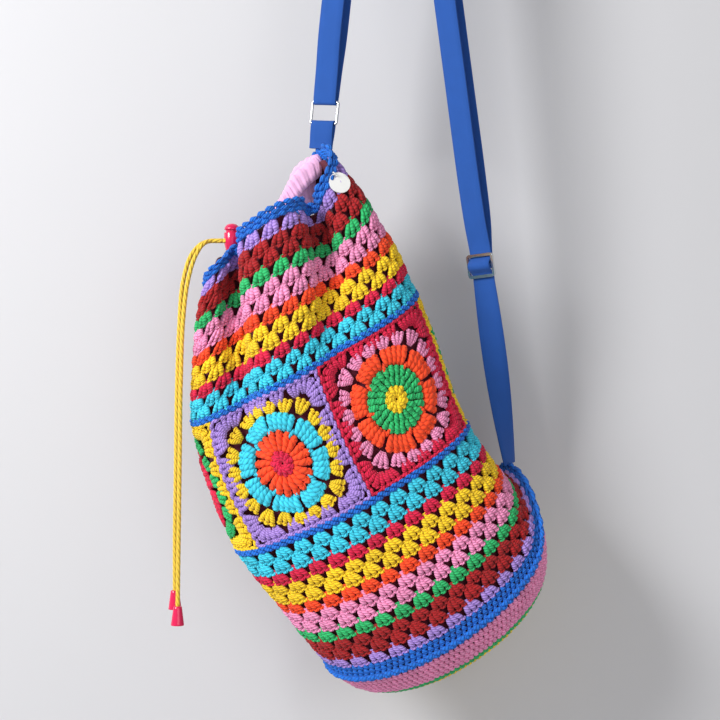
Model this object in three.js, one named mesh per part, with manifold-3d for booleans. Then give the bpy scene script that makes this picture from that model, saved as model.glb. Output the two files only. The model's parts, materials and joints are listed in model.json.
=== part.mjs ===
// Crochet drawstring bucket bag hanging by its shoulder strap.
// Millimetres, +Z up. The origin is the inside of the strap's top bend, where a hook carries it.
// +X is to the right of the bag's front and the front faces -Y.

import * as THREE from 'three';
import { mergeVertices } from 'three/addons/utils/BufferGeometryUtils.js';
import Module from 'manifold-3d';

const wasm = await Module();
wasm.setup();

// Crochet: five granny squares make the girth, and every round has six clusters on each square
const SQUARES_AROUND = 5;
const SQUARE_SIDE = 127;
const CLUSTERS_PER_SQUARE = 6;
const ROW_HEIGHT = 12.8;
const RIM_HEIGHT = 12;
const JOIN_HEIGHT = 5;
const HEM_HEIGHT = 20;
const CLOTH = 4;
const CLUSTER_RELIEF = 1.2;
const ZIGZAG = 2.4;
const STITCH_GAP = 0.4;
const SEAM_GAP = 0.8;

// How the bag hangs
const PEAK_PULL = new THREE.Vector3(-42, 0, 36);
const PEAK_SPREAD = 30;
const INNER_PEAK = 0.6;
const INNER_LOBE = 0.4;
const INNER_SPREAD = 66;
const LOBE_ANGLE = 160;
const LOBE_PULL = new THREE.Vector3(7, 0, -15);
const LOBE_SPREAD = 26;
const FOOT_ANGLE = -25;
const FOOT_PULL = new THREE.Vector3(-8, 14, 52);
const FOOT_SPREAD = 30;
const BASE_DROP = 58;
const HEM_RIDGE = 3;
const BASE_STEEPNESS = 4;
const BASE_START = 0.6;
const BASE_SEAM = 0.6;
const BASE_PINK = 56;
const BASE_GREEN = 65;

// Mouth: pink casing with the drawcord inside it, above the rim
const CASING_CLOTH = 1;
const CASING_ABOVE = 14;
const CASING_BELOW = 26;
const CASING_HEM = 5;
const CASING_FROM_FOLDS = 1.2;
const RUFFLE = 0.8;
const LINING_CLOTH = 1.2;
const LINING_INSET = 9.4;
const LINING_LAP = 4;
const LINING_GAP = 0.9;
const LINING_BEND = 50;
const LINING_FLOOR = 84;
const CORD_RADIUS = 2.2;
const CORD_CLEARANCE = 1.5;
const CORD_SIDES = 8;
const LOOP_STEPS = 48;
const NEARBY_ANGLE = 2;

// Webbing and its metal
const WEB_WIDTH = 25;
const WEB_THICK = 1.6;
const WEB_LAYER_GAP = 1;
const HOOK_RADIUS = 12;
const LEFT_LEG = 466;
const LEFT_LEAN = 6.1;
const SLIDER_DROP = 632;
const WIRE = 3;
const RING_WIDTH = 32;
const RING_BEND = 2;
const RING_HEIGHT = 25;
const SLIDER_HEIGHT = 24.6;
const SLIDER_WIDTH = 31;
const SLIDER_PLATE = 2.5;
const SLIDER_BAR = 3;
const SLIDER_BEND = 3.6;
const TAB_LENGTH = 25;
const FIT = 0.3;
const FOOT_CLEARANCE = 0.3;
const FOOT_LAP = 0;
const SLIDER_BACK = 4.9;
const WEB_OPEN_HALF = 7;
const WEB_OPEN_AFTER = 180;
const WEB_SHUT_OVER = 70;
const TWIST_LENGTH = 330;
const LEFT_TURN = -27;
const RIGHT_TURN = -36;
const FOOT_TURN = 60;

// Cord lock, cord ends and the round tag
const LOCK_RADIUS = 8;
const LOCK_LENGTH = 19;
const LOCK_BORE = 6.5;
const LOCK_FLOOR = 1.6;
const BUTTON_RADIUS = 7.8;
const BUTTON_DOME = 6.5;
const BUTTON_TRAVEL = 2.5;
const SPRING_WIRE = 0.6;
const SPRING_RADIUS = 4.6;
const SPRING_TURNS = 2.5;
const END_LENGTH = 19;
const END_TOP = 4.2;
const END_MOUTH = 6.5;
const TAG_RADIUS = 11;
const TAG_THICK = 1.4;
const TAG_HOLE = 1.6;
const TAG_HOLE_REACH = 7.8;
const TAG_LOOP = 4.4;
const TAG_TURN = 32;
const TAG_ANGLE = 20;
const TAG_DROP = 23;
const TAG_OFF = 1.6;
const THREAD = 1;
const LANE_GAP = 0.4;
const LOCK_ABOVE = 3;
const EYELET_REACH = 40;
const EYELET_WIDTH = 15;
const EYELET_HEIGHT = 13;
const EYELET_INSIDE = 5;
const END_GRIP = 6;
const STEM_BELOW = 2.2;

// Free ends of the drawcord, from where each leaves the lock
const FRONT_CORD = [
  [0, 0, 0], [-5, 0, 0], [-11, 0, 0], [-18, -5, -3], [-26, -11, -16], [-33, -17, -42], [-37, -22, -80],
  [-39, -25, -140], [-40, -25, -215], [-41, -25, -290], [-42, -25, -367],
];
const BACK_CORD = [
  [0, 0, 0], [-5, 0, 0], [-11, 0, 0], [-20, -1, -2], [-31, -5, -14], [-39, -10, -42], [-42, -14, -84],
  [-44, -17, -150], [-45, -18, -225], [-46, -18, -290], [-46, -18, -353],
];

const UP = new THREE.Vector3(0, 0, 1);
const FRONT = new THREE.Vector3(0, -1, 0);
const rad = THREE.MathUtils.degToRad;
const GIRTH = SQUARES_AROUND * SQUARE_SIDE;
const COLUMNS = 2 * SQUARES_AROUND * CLUSTERS_PER_SQUARE;

// Heights down the wall, from the rim
const BAND_ROWS = 12;
const UPPER_JOIN = RIM_HEIGHT + BAND_ROWS * ROW_HEIGHT;
const SQUARES_TOP = UPPER_JOIN + JOIN_HEIGHT;
const LOWER_JOIN = SQUARES_TOP + SQUARE_SIDE;
const LOWER_BAND = LOWER_JOIN + JOIN_HEIGHT;
const HEM_TOP = LOWER_BAND + BAND_ROWS * ROW_HEIGHT;
const HEM = HEM_TOP + HEM_HEIGHT;
const MID_JOIN = JOIN_HEIGHT / 2;

// Sections of the hanging bag from mouth to hem. lean turns the spine from straight down, reach is
// the spine's share of the cloth's length, slope tilts the section in the front view, sag lowers its
// front edge, gather is its girth over the cloth's and flat its depth over its width.
// seam is where the seam of the two front squares lies. peak and foot are its shares of the pulls at
// the mouth and of the pull of the strap's foot.
const SECTIONS = [
  { s: 0, lean: 0, reach: 0, slope: 27, sag: -15, gather: 0.59, flat: 0.58, seam: 64, peak: 1, foot: 0 },
  { s: 0.3 * UPPER_JOIN, lean: 9, reach: 0.8, slope: 27.5, sag: -6, gather: 0.72, flat: 0.5, seam: 72,
    peak: 0.55, foot: 0 },
  { s: 0.62 * UPPER_JOIN, lean: 10, reach: 0.8, slope: 28, sag: 4, gather: 0.84, flat: 0.48, seam: 80,
    peak: 0.28, foot: 0 },
  { s: UPPER_JOIN + MID_JOIN, lean: 9, reach: 0.78, slope: 29, sag: 12, gather: 0.95, flat: 0.47,
    seam: 85, peak: 0.06, foot: 0 },
  { s: LOWER_JOIN + MID_JOIN, lean: 20.4, reach: 1.03, slope: 28.5, sag: 17, gather: 0.992, flat: 0.5,
    seam: 83, peak: 0, foot: 0 },
  { s: LOWER_BAND + 0.5 * (HEM_TOP - LOWER_BAND), lean: 35.6, reach: 0.83, slope: 30, sag: 24,
    gather: 0.996, flat: 0.55, seam: 82, peak: 0, foot: 0.15 },
  { s: LOWER_BAND + 0.83 * (HEM_TOP - LOWER_BAND), lean: 36, reach: 0.78, slope: 31.5, sag: 29,
    gather: 0.996, flat: 0.585, seam: 81, peak: 0, foot: 0.45 },
  { s: HEM, lean: 40, reach: 0.74, slope: 33, sag: 32, gather: 1, flat: 0.605, seam: 80, peak: 0, foot: 1 },
];

// Valleys of the gathers, as angles round the section at the mouth and below the gathers
const VALLEYS = [
  { mouth: 50, waist: 74 },
  { mouth: 128, waist: 122 },
  { mouth: 192, waist: 186 },
  { mouth: 238, waist: 236 },
  { mouth: 282, waist: 282 },
  { mouth: 326, waist: 330 },
];
const ROUND_STEPS = 720;

const colours = {
  blue: 0x0a6fd6,
  webbing: 0x2f66b8,
  purple: 0xa986d8,
  darkRed: 0x9c1018,
  green: 0x2fb56c,
  pink: 0xf09cc4,
  orange: 0xf4591f,
  yellow: 0xf7cf2c,
  crimson: 0xd01650,
  cyan: 0x48c8e6,
  liningPink: 0xf2bcd8,
  maroon: 0x7c1030,
  cord: 0xe9c63c,
  plastic: 0xd81e50,
  metal: 0xc8c8c8,
  white: 0xf4f2ee,
};

const bag = new THREE.Group();

function addMesh(name, geometry, colour, roughness = 0.9, metalness = 0) {
  const material = new THREE.MeshStandardMaterial({ color: colour, roughness, metalness });
  const mesh = new THREE.Mesh(geometry, material);
  mesh.name = name;
  bag.add(mesh);
  return mesh;
}

// Closed bodies from rings of points
class Body {
  constructor() {
    this.points = [];
    this.faces = [];
  }

  ring(points) {
    const start = this.points.length;
    this.points.push(...points);
    return { start, count: points.length };
  }

  // Joins two closed rings. The second may have half as many points as the first.
  strip(a, b, reverse = false) {
    const first = this.faces.length;
    const whole = a.count === b.count;
    for (let i = 0; i < b.count; i++) {
      const b0 = b.start + i;
      const b1 = b.start + ((i + 1) % b.count);
      if (whole) {
        const a0 = a.start + i;
        const a1 = a.start + ((i + 1) % a.count);
        this.faces.push([a0, a1, b1], [a0, b1, b0]);
      } else {
        const a0 = a.start + 2 * i;
        const a1 = a0 + 1;
        const a2 = a.start + ((2 * i + 2) % a.count);
        this.faces.push([a0, a1, b0], [a1, b1, b0], [a1, a2, b1]);
      }
    }
    if (reverse) this.faces.slice(first).forEach((face) => face.reverse());
  }

  // Closes a ring with a fan to its middle
  cap(a, reverse) {
    const centre = this.points
      .slice(a.start, a.start + a.count)
      .reduce((sum, p) => sum.add(p), new THREE.Vector3())
      .divideScalar(a.count);
    const c = this.points.push(centre) - 1;
    for (let i = 0; i < a.count; i++) {
      const p = a.start + i;
      const q = a.start + ((i + 1) % a.count);
      this.faces.push(reverse ? [p, c, q] : [p, q, c]);
    }
  }

  geometry() {
    let volume = 0;
    for (const [a, b, c] of this.faces) {
      const cross = new THREE.Vector3().crossVectors(this.points[b], this.points[c]);
      volume += this.points[a].dot(cross);
    }
    const faces = volume > 0 ? this.faces : this.faces.map(([a, b, c]) => [a, c, b]);
    const geometry = new THREE.BufferGeometry();
    const flat = this.points.flatMap((p) => p.toArray());
    geometry.setAttribute('position', new THREE.Float32BufferAttribute(flat, 3));
    geometry.setIndex(faces.flat());
    return geometry;
  }
}

// A closed tube through rings that all have as many points, open walk with two caps
function skinned(rings, closed = false) {
  const body = new Body();
  const loops = rings.map((points) => body.ring(points));
  for (let i = 0; i + 1 < loops.length; i++) body.strip(loops[i], loops[i + 1]);
  if (closed) {
    body.strip(loops.at(-1), loops[0]);
  } else {
    body.cap(loops[0], true);
    body.cap(loops.at(-1), false);
  }
  return body.geometry();
}

// One section of the hanging wall
function ellipseGirth(a, b) {
  return Math.PI * (3 * (a + b) - Math.sqrt((3 * a + b) * (a + 3 * b)));
}

function foldShape(angle, share) {
  const turns = VALLEYS.map((v) => THREE.MathUtils.lerp(v.mouth, v.waist, share));
  const at = ((angle - turns[0]) % 360 + 360) % 360 + turns[0];
  const next = turns.findIndex((t) => t > at);
  const from = next < 0 ? turns.at(-1) : turns[next - 1];
  const to = next < 0 ? turns[0] + 360 : turns[next];
  return 2 * Math.sin(Math.PI * (at - from) / (to - from)) - 1;
}

class Section {
  constructor(spec) {
    Object.assign(this, spec);
    const unit = ellipseGirth(1, this.flat);
    this.a = this.gather * GIRTH / unit;
    this.b = this.a * this.flat;
    this.share = Math.min(1, this.s / UPPER_JOIN);
    this.e1 = new THREE.Vector3(Math.cos(rad(this.slope)), 0, Math.sin(rad(this.slope)));
    this.down = new THREE.Vector3(Math.sin(rad(this.slope)), 0, -Math.cos(rad(this.slope)));
    this.e2 = FRONT.clone().multiplyScalar(Math.cos(rad(this.sag)));
    this.e2.addScaledVector(this.down, Math.sin(rad(this.sag)));
    this.centre = new THREE.Vector3();
    this.depth = 0;
    let low = 0;
    let high = this.b;
    for (let i = 0; i < 30; i++) {
      this.depth = (low + high) / 2;
      if (this.walk() < GIRTH) low = this.depth;
      else high = this.depth;
    }
    const lengths = [0];
    for (let i = 1; i <= ROUND_STEPS; i++) {
      const step = this.cloth(360 * i / ROUND_STEPS).distanceTo(this.cloth(360 * (i - 1) / ROUND_STEPS));
      lengths.push(lengths[i - 1] + step);
    }
    this.lengths = lengths;
    this.seamLength = this.lengthAt(this.seam);
  }

  walk() {
    let total = 0;
    for (let i = 0; i < ROUND_STEPS; i++) {
      total += this.cloth(360 * i / ROUND_STEPS).distanceTo(this.cloth(360 * (i + 1) / ROUND_STEPS));
    }
    return total;
  }

  lengthAt(angle) {
    const place = angle / 360 * ROUND_STEPS;
    const i = Math.floor(place);
    return THREE.MathUtils.lerp(this.lengths[i], this.lengths[i + 1], place - i);
  }

  // Share of the girth at an angle round the section
  shareAt(angle) {
    const turn = (angle % 360 + 360) % 360;
    return (this.lengthAt(turn) - this.seamLength) / this.lengths.at(-1);
  }

  // Angle round the section of a share of the girth, counted from the front seam towards the left
  angleOf(u) {
    const total = this.lengths.at(-1);
    const want = ((u * total + this.seamLength) % total + total) % total;
    let low = 0;
    let high = ROUND_STEPS;
    while (high - low > 1) {
      const mid = (low + high) >> 1;
      if (this.lengths[mid] <= want) low = mid;
      else high = mid;
    }
    const part = (want - this.lengths[low]) / (this.lengths[high] - this.lengths[low]);
    return (low + part) * 360 / ROUND_STEPS;
  }

  outward(angle) {
    const x = Math.cos(rad(angle)) / this.a;
    const y = Math.sin(rad(angle)) / this.b;
    return this.e1.clone().multiplyScalar(x).addScaledVector(this.e2, y).normalize();
  }

  // The section without its pulls, out from the plain ellipse by so much
  plain(angle, out) {
    const p = this.centre.clone();
    p.addScaledVector(this.e1, this.a * Math.cos(rad(angle)));
    p.addScaledVector(this.e2, this.b * Math.sin(rad(angle)));
    return p.addScaledVector(this.outward(angle), out);
  }

  cloth(angle) {
    return this.plain(angle, this.depth * foldShape(angle, this.share));
  }

  pulled(p, angle, peak = 1, peakSpread = PEAK_SPREAD, lobe = 1, lobeSpread = LOBE_SPREAD) {
    const near = (middle, spread) => {
      const turn = ((angle - middle + 180) % 360 + 360) % 360 - 180;
      return Math.exp(-((turn / spread) ** 2));
    };
    p.addScaledVector(PEAK_PULL, this.peak * peak * near(0, peakSpread));
    p.addScaledVector(LOBE_PULL, this.peak * lobe * near(LOBE_ANGLE, lobeSpread));
    return p.addScaledVector(FOOT_PULL, this.foot * near(FOOT_ANGLE, FOOT_SPREAD));
  }

  // Gathered cloth, set in by inset
  fold(angle, inset) {
    return this.pulled(this.plain(angle, this.depth * foldShape(angle, this.share) - inset), angle);
  }

  // Smooth ring inside the folds
  inside(angle, inset) {
    const less = this.depth + inset;
    const p = this.centre.clone();
    p.addScaledVector(this.e1, (this.a - less) * Math.cos(rad(angle)));
    p.addScaledVector(this.e2, (this.b - less) * Math.sin(rad(angle)));
    return this.pulled(p, angle, INNER_PEAK, INNER_SPREAD, INNER_LOBE, INNER_SPREAD);
  }
}

const sections = SECTIONS.map((spec) => new Section(spec));
const mouth = sections[0];
const hem = sections.at(-1);

// The chain that carries the mouth: strap over the hook, ring, tab
const strapSlope = rad(LEFT_LEAN);
const leftDown = new THREE.Vector3(-Math.sin(strapSlope), 0, -Math.cos(strapSlope));
const hookCentre = new THREE.Vector3(0, 0, -HOOK_RADIUS);
const strapMiddle = HOOK_RADIUS + WEB_THICK + WEB_LAYER_GAP / 2;
const leftOut = new THREE.Vector3(-Math.cos(strapSlope), 0, Math.sin(strapSlope));
const leftStart = hookCentre.clone().addScaledVector(leftOut, strapMiddle);
const ringTop = leftStart.clone().addScaledVector(leftDown, LEFT_LEG - HOOK_RADIUS);
const barSpacing = RING_HEIGHT - WIRE;
const ringBottom = ringTop.clone().addScaledVector(leftDown, barSpacing);
const tabFoot = ringBottom.clone().addScaledVector(leftDown, TAB_LENGTH);

// Sections hang in a chain from the tab
function placeSections() {
  const end = mouth.a + mouth.depth * foldShape(0, 0);
  const rim = tabFoot.clone().addScaledVector(UP, -2 * FIT);
  mouth.centre.copy(rim).sub(PEAK_PULL).addScaledVector(mouth.e1, -end);
  for (let i = 1; i < sections.length; i++) {
    const above = sections[i - 1];
    const here = sections[i];
    const step = (here.s - above.s) * here.reach;
    here.centre.copy(above.centre);
    here.centre.x += step * Math.sin(rad(here.lean));
    here.centre.z -= step * Math.cos(rad(here.lean));
  }
}
placeSections();

// Point of the wall: share u of the girth, s down from the rim, set in from the outer face
function between(s, pointOf) {
  const last = sections.length - 2;
  let i = sections.findIndex((section) => section.s >= s) - 1;
  i = THREE.MathUtils.clamp(i < -1 ? last : i, 0, last);
  const part = (s - sections[i].s) / (sections[i + 1].s - sections[i].s);
  return pointOf(sections[i]).lerp(pointOf(sections[i + 1]), part);
}

function wall(u, s, inset = 0) {
  return between(s, (section) => section.fold(section.angleOf(u), inset));
}

function innerRing(angle, s, inset) {
  return between(s, (section) => section.inside(angle, inset));
}

function around(count, pointAt) {
  return Array.from({ length: count }, (_, i) => pointAt(i, i / count));
}

// Rounds of clusters. Odd and even columns stand high and low, so each row's clusters sit between
// those of the row above.
function zigzag(column, edge) {
  return (column + edge) % 2 ? ZIGZAG : -ZIGZAG;
}

function relief(column, row) {
  return (column + row) % 2 ? 0 : CLUSTER_RELIEF;
}

function addRound(name, colour, top, firstRow, rows, straightTop, straightBottom, innerColumns) {
  const lastRow = firstRow + rows - 1;
  const height = rows * ROW_HEIGHT;
  const topGap = straightTop ? SEAM_GAP : STITCH_GAP;
  const bottomGap = straightBottom ? SEAM_GAP : STITCH_GAP;
  const body = new Body();
  const upper = body.ring(around(COLUMNS, (i, u) => {
    const edge = straightTop ? 0 : zigzag(i, firstRow);
    return wall(u, top + topGap / 2 + edge, -relief(i, firstRow));
  }));
  const lower = body.ring(around(COLUMNS, (i, u) => {
    const edge = straightBottom ? 0 : zigzag(i, lastRow + 1);
    return wall(u, top + height - bottomGap / 2 + edge, -relief(i, lastRow));
  }));
  const inner = body.ring(around(innerColumns, (i, u) => wall(u, top + height / 2, CLOTH)));
  body.strip(upper, lower);
  body.strip(lower, inner);
  body.strip(upper, inner, true);
  addMesh(name, body.geometry(), colour);
}

const UPPER_ROUNDS = [
  ['purple', 'purple', 1],
  ['dark_red', 'darkRed', 2],
  ['green', 'green', 1],
  ['pink', 'pink', 2],
  ['orange', 'orange', 1],
  ['yellow', 'yellow', 2],
  ['crimson', 'crimson', 1],
  ['cyan', 'cyan', 2],
];

function addRounds(prefix, rounds, top, innerColumns) {
  let row = 0;
  for (const [i, [name, colour, rows]] of rounds.entries()) {
    const first = i === 0;
    const last = i === rounds.length - 1;
    const at = top + row * ROW_HEIGHT;
    addRound(`${prefix}_${name}`, colours[colour], at, row, rows, first, last, innerColumns);
    row += rows;
  }
}

// Plain crochet ring with a four-cornered section
function addPlainRing(name, colour, top, bottom, out, columns) {
  const gap = SEAM_GAP / 2;
  const corners = [
    [top + gap, -out],
    [bottom - gap, -out],
    [bottom - gap, CLOTH],
    [top + gap, CLOTH],
  ];
  const rings = corners.map(([s, inset]) => around(columns, (i, u) => wall(u, s, inset)));
  return addMesh(name, skinned(rings, true), colour);
}

function addWall() {
  addPlainRing('rim_edging', colours.blue, 0, RIM_HEIGHT, CLUSTER_RELIEF, COLUMNS);
  addRounds('upper_round', UPPER_ROUNDS, RIM_HEIGHT, COLUMNS / 2);
  addPlainRing('upper_joining_round', colours.blue, UPPER_JOIN, SQUARES_TOP, 0, COLUMNS / 2);
  addPlainRing('lower_joining_round', colours.blue, LOWER_JOIN, LOWER_BAND, 0, COLUMNS / 2);
  addRounds('lower_round', [...UPPER_ROUNDS].reverse(), LOWER_BAND, COLUMNS / 2);
}

// Granny squares: border, groove, round of petals and raised centre
const SQUARE_CORNERS = 24;
const SQUARE_COLOURS = ['crimson', 'purple', 'yellow', 'cyan', 'yellow'];

function squareLoop(k, size, squareness, inset) {
  const half = SQUARE_SIDE / 2 - SEAM_GAP / 2;
  return around(SQUARE_CORNERS, (i, turn) => {
    const angle = 2 * Math.PI * turn;
    const x = Math.cos(angle);
    const y = Math.sin(angle);
    const edge = 1 / Math.max(Math.abs(x), Math.abs(y));
    const r = size * half * THREE.MathUtils.lerp(1, edge, squareness);
    const u = (k - 0.5) / SQUARES_AROUND - r * x / GIRTH;
    return wall(u, SQUARES_TOP + SQUARE_SIDE / 2 - r * y, inset);
  });
}

function addSquares() {
  for (let k = 0; k < SQUARES_AROUND; k++) {
    const rings = [
      squareLoop(k, 0.55, 0.3, CLOTH),
      squareLoop(k, 1, 1, CLOTH),
      squareLoop(k, 1, 1, 0),
      squareLoop(k, 0.78, 0.6, -CLUSTER_RELIEF),
      squareLoop(k, 0.55, 0.1, 0),
      squareLoop(k, 0.25, 0, -CLUSTER_RELIEF),
    ];
    addMesh(`granny_square_${k + 1}`, skinned(rings), colours[SQUARE_COLOURS[k]]);
  }
}

// Hem ridge and the domed base
const baseDown = new THREE.Vector3().crossVectors(hem.e1, hem.e2).normalize();
if (baseDown.z > 0) baseDown.negate();

// Point of the dome: steep degrees over from its edge at the hem to its middle, set in by inset
function base(u, steep, inset) {
  const edge = hem.fold(hem.angleOf(u), CLOTH / 2);
  const radius = edge.distanceTo(hem.centre);
  const share = Math.cos(rad(steep)) ** (2 / BASE_STEEPNESS) * (1 - inset / radius);
  const drop = Math.sin(rad(steep)) * (BASE_DROP - inset);
  return hem.centre.clone().lerp(edge, share).addScaledVector(baseDown, drop);
}

function baseRing(steep, inset) {
  return around(COLUMNS / 2, (i, u) => base(u, steep, inset));
}

function addBaseRing(name, colour, steeps) {
  const rings = [
    ...steeps.map((steep) => baseRing(steep, 0)),
    ...steeps.map((steep) => baseRing(steep, CLOTH)).reverse(),
  ];
  addMesh(name, skinned(rings, true), colours[colour]);
}

function addBase() {
  const gap = SEAM_GAP / 2;
  const hemRings = [
    [HEM_TOP + gap, 0],
    [HEM - HEM_RIDGE, -HEM_RIDGE],
    [HEM, 0],
    [HEM - HEM_RIDGE, CLOTH],
    [HEM_TOP + gap, CLOTH],
  ].map(([s, inset]) => around(COLUMNS / 2, (i, u) => wall(u, s, inset)));
  addMesh('hem_ridge', skinned(hemRings, true), colours.blue);
  addBaseRing('base_pink_rounds', 'pink', [BASE_START, BASE_PINK / 2, BASE_PINK]);
  addBaseRing('base_green_rounds', 'green', [BASE_PINK + BASE_SEAM, BASE_GREEN]);
  const middle = (BASE_GREEN + 90) / 2;
  const disc = [
    baseRing(middle, 0),
    baseRing(BASE_GREEN + BASE_SEAM, 0),
    baseRing(BASE_GREEN + BASE_SEAM, CLOTH),
    baseRing(middle, CLOTH),
  ];
  addMesh('base_yellow_rounds', skinned(disc), colours.yellow);
}

// Casing folded over the drawcord, and the lining sewn below it
const channel = 2 * (CORD_RADIUS + CORD_CLEARANCE);

const casingMiddle = CLOTH + CASING_FROM_FOLDS + CASING_CLOTH + channel / 2;

// Point of the casing: s down from the rim, inward from the middle of its channel
function casingPoint(angle, s, inward) {
  const p = innerRing(angle, s, casingMiddle);
  const round = innerRing(angle + NEARBY_ANGLE, s, casingMiddle);
  round.sub(innerRing(angle - NEARBY_ANGLE, s, casingMiddle));
  const down = innerRing(angle, s + 1, casingMiddle).sub(p);
  return p.addScaledVector(down.cross(round).normalize(), inward);
}

function addCasing() {
  const skin = CASING_CLOTH;
  const half = channel / 2;
  const profile = [
    [CASING_HEM, -half - skin],
    [-CASING_ABOVE, -half - skin],
    [-CASING_ABOVE - 2 * skin, 0],
    [-CASING_ABOVE, half + skin],
    [CASING_BELOW, half + skin],
    [CASING_BELOW, half],
    [-CASING_ABOVE + skin, half],
    [-CASING_ABOVE + skin, -half],
    [CASING_HEM, -half],
  ];
  const rings = profile.map(([s, inward]) => around(COLUMNS / 2, (i, turn) => {
    const ruffle = i % 2 ? RUFFLE / 2 : -RUFFLE / 2;
    return casingPoint(360 * turn, s, inward + ruffle);
  }));
  const eyelet = new THREE.BoxGeometry(EYELET_REACH, EYELET_WIDTH, EYELET_HEIGHT);
  eyelet.translate(corner.x + EYELET_INSIDE - EYELET_REACH / 2, corner.y, corner.z + LOCK_ABOVE / 2);
  const casing = solid(skinned(rings, true)).subtract(solid(eyelet));
  addMesh('drawstring_casing', geometryOf(casing), colours.liningPink);
}

function addLining() {
  const top = CASING_BELOW - LINING_LAP;
  const behind = channel / 2 + CASING_CLOTH + RUFFLE + LINING_GAP;
  const levels = [top, sections[3].s, sections[4].s, sections[6].s, HEM];
  const ringAt = (s, more) => around(COLUMNS / 2, (i, turn) => {
    if (s === top) return casingPoint(360 * turn, s, behind + more);
    return innerRing(360 * turn, s, LINING_INSET + more);
  });
  const baseAt = (steep, more) => around(COLUMNS / 2, (i, turn) => (
    base(hem.shareAt(360 * turn), steep, LINING_INSET + more)
  ));
  const outer = levels.map((s) => ringAt(s, 0));
  const inner = levels.map((s) => ringAt(s, LINING_CLOTH));
  const rings = [
    baseAt(LINING_FLOOR, 0),
    baseAt(LINING_BEND, 0),
    ...outer.reverse(),
    ...inner,
    baseAt(LINING_BEND, LINING_CLOTH),
    baseAt(LINING_FLOOR, LINING_CLOTH),
  ];
  addMesh('lining', skinned(rings), colours.maroon);
}

// Webbing strips: each station holds the middle of the strip and its width direction
function ribbon(stations, width = WEB_WIDTH, thickness = WEB_THICK) {
  let across = stations[0].w;
  const rings = stations.map(({ p, w: given }, i) => {
    const w = given.dot(across) < 0 ? given.clone().negate() : given;
    across = w;
    const before = stations[Math.max(0, i - 1)].p;
    const after = stations[Math.min(stations.length - 1, i + 1)].p;
    const along = after.clone().sub(before).normalize();
    const thick = new THREE.Vector3().crossVectors(along, w).normalize().multiplyScalar(thickness / 2);
    const wide = w.clone().multiplyScalar(width / 2);
    return [
      p.clone().add(wide).add(thick),
      p.clone().sub(wide).add(thick),
      p.clone().sub(wide).sub(thick),
      p.clone().add(wide).sub(thick),
    ];
  });
  const body = new Body();
  const loops = rings.map((points) => body.ring(points));
  for (let i = 0; i + 1 < loops.length; i++) {
    const a = loops[i].start;
    const b = loops[i + 1].start;
    // Both broad faces are split along the same diagonal, so a twisted stretch keeps its thickness
    body.faces.push([a, a + 1, b + 1], [a, b + 1, b], [a + 1, a + 2, b + 2], [a + 1, b + 2, b + 1]);
    body.faces.push([a + 2, a + 3, b + 2], [a + 3, b + 3, b + 2], [a + 3, a, b], [a + 3, b, b + 3]);
  }
  body.cap(loops[0], true);
  body.cap(loops.at(-1), false);
  return body.geometry();
}

// Frame of a strand: t runs up it, n out of its face, w across it. turn is the way its face looks,
// from straight at the front towards the right.
function strandFrame(p, t, turn) {
  const face = new THREE.Vector3(Math.sin(rad(turn)), -Math.cos(rad(turn)), 0);
  const n = face.addScaledVector(t, -face.dot(t)).normalize();
  return { p, t, n, w: new THREE.Vector3().crossVectors(t, n) };
}

function local(frame, t, n, w = 0) {
  return frame.p.clone().addScaledVector(frame.t, t).addScaledVector(frame.n, n).addScaledVector(frame.w, w);
}

function station(frame, t, n) {
  return { p: local(frame, t, n), w: frame.w };
}

// Stations of a turn about a bar, from one angle to another, both counted from n towards t
function turnStations(frame, radius, from, to, steps) {
  return Array.from({ length: steps + 1 }, (_, i) => {
    const angle = rad(THREE.MathUtils.lerp(from, to, i / steps));
    return station(frame, radius * Math.sin(angle), radius * Math.cos(angle));
  });
}

// Where the strap's foot is sewn, on the outside of the hem ridge
const footPoint = hem.fold(FOOT_ANGLE, -HEM_RIDGE - FOOT_CLEARANCE - WEB_THICK / 2);
const footSide = footPoint.clone().sub(hookCentre);
const rightReach = Math.sqrt(footSide.lengthSq() - strapMiddle ** 2);
const rightLean = Math.atan2(footSide.x, -footSide.z) - Math.asin(strapMiddle / footSide.length());
const rightOut = new THREE.Vector3(Math.cos(rightLean), 0, Math.sin(rightLean));
const rightStart = hookCentre.clone().addScaledVector(rightOut, strapMiddle);
const rightUp = rightStart.clone().sub(footPoint).normalize();
const leftUp = leftDown.clone().negate();
const barTurn = WIRE / 2 + FIT + WEB_THICK / 2;

// Half the distance between the two layers of a leg, so far down from the hook
function layerHalf(down, length, endHalf) {
  const near = (WEB_THICK + WEB_LAYER_GAP) / 2;
  const open = THREE.MathUtils.smoothstep(down, 0, WEB_OPEN_AFTER);
  const shut = THREE.MathUtils.smoothstep(length - down, 0, WEB_SHUT_OVER);
  return THREE.MathUtils.lerp(endHalf, THREE.MathUtils.lerp(near, WEB_OPEN_HALF, open), shut);
}

function legFrame(start, up, down, hookTurn, legTurn) {
  const turn = THREE.MathUtils.lerp(hookTurn, legTurn, THREE.MathUtils.smoothstep(down, 0, TWIST_LENGTH));
  return strandFrame(start.clone().addScaledVector(up, -down), up, turn);
}

const LEG_SHARES = [0.08, 0.2, 0.32, 0.44, 0.56, 0.7, 0.86, 0.93];
const sliderHalf = (WEB_THICK + FIT) / 2 + WEB_THICK / 2;
const rightLength = SLIDER_DROP - HOOK_RADIUS;
const leftLength = LEFT_LEG - HOOK_RADIUS;

function rightLayer(side) {
  return LEG_SHARES.map((share) => {
    const down = share * rightLength;
    const frame = legFrame(rightStart, rightUp, down, 90, RIGHT_TURN);
    return station(frame, 0, side * layerHalf(down, rightLength, sliderHalf));
  });
}

function leftLayer(side) {
  return LEG_SHARES.map((share) => {
    const down = share * leftLength;
    const frame = legFrame(leftStart, leftUp, down, -90, LEFT_TURN);
    return station(frame, 0, side * layerHalf(down, leftLength, barTurn));
  });
}

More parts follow.
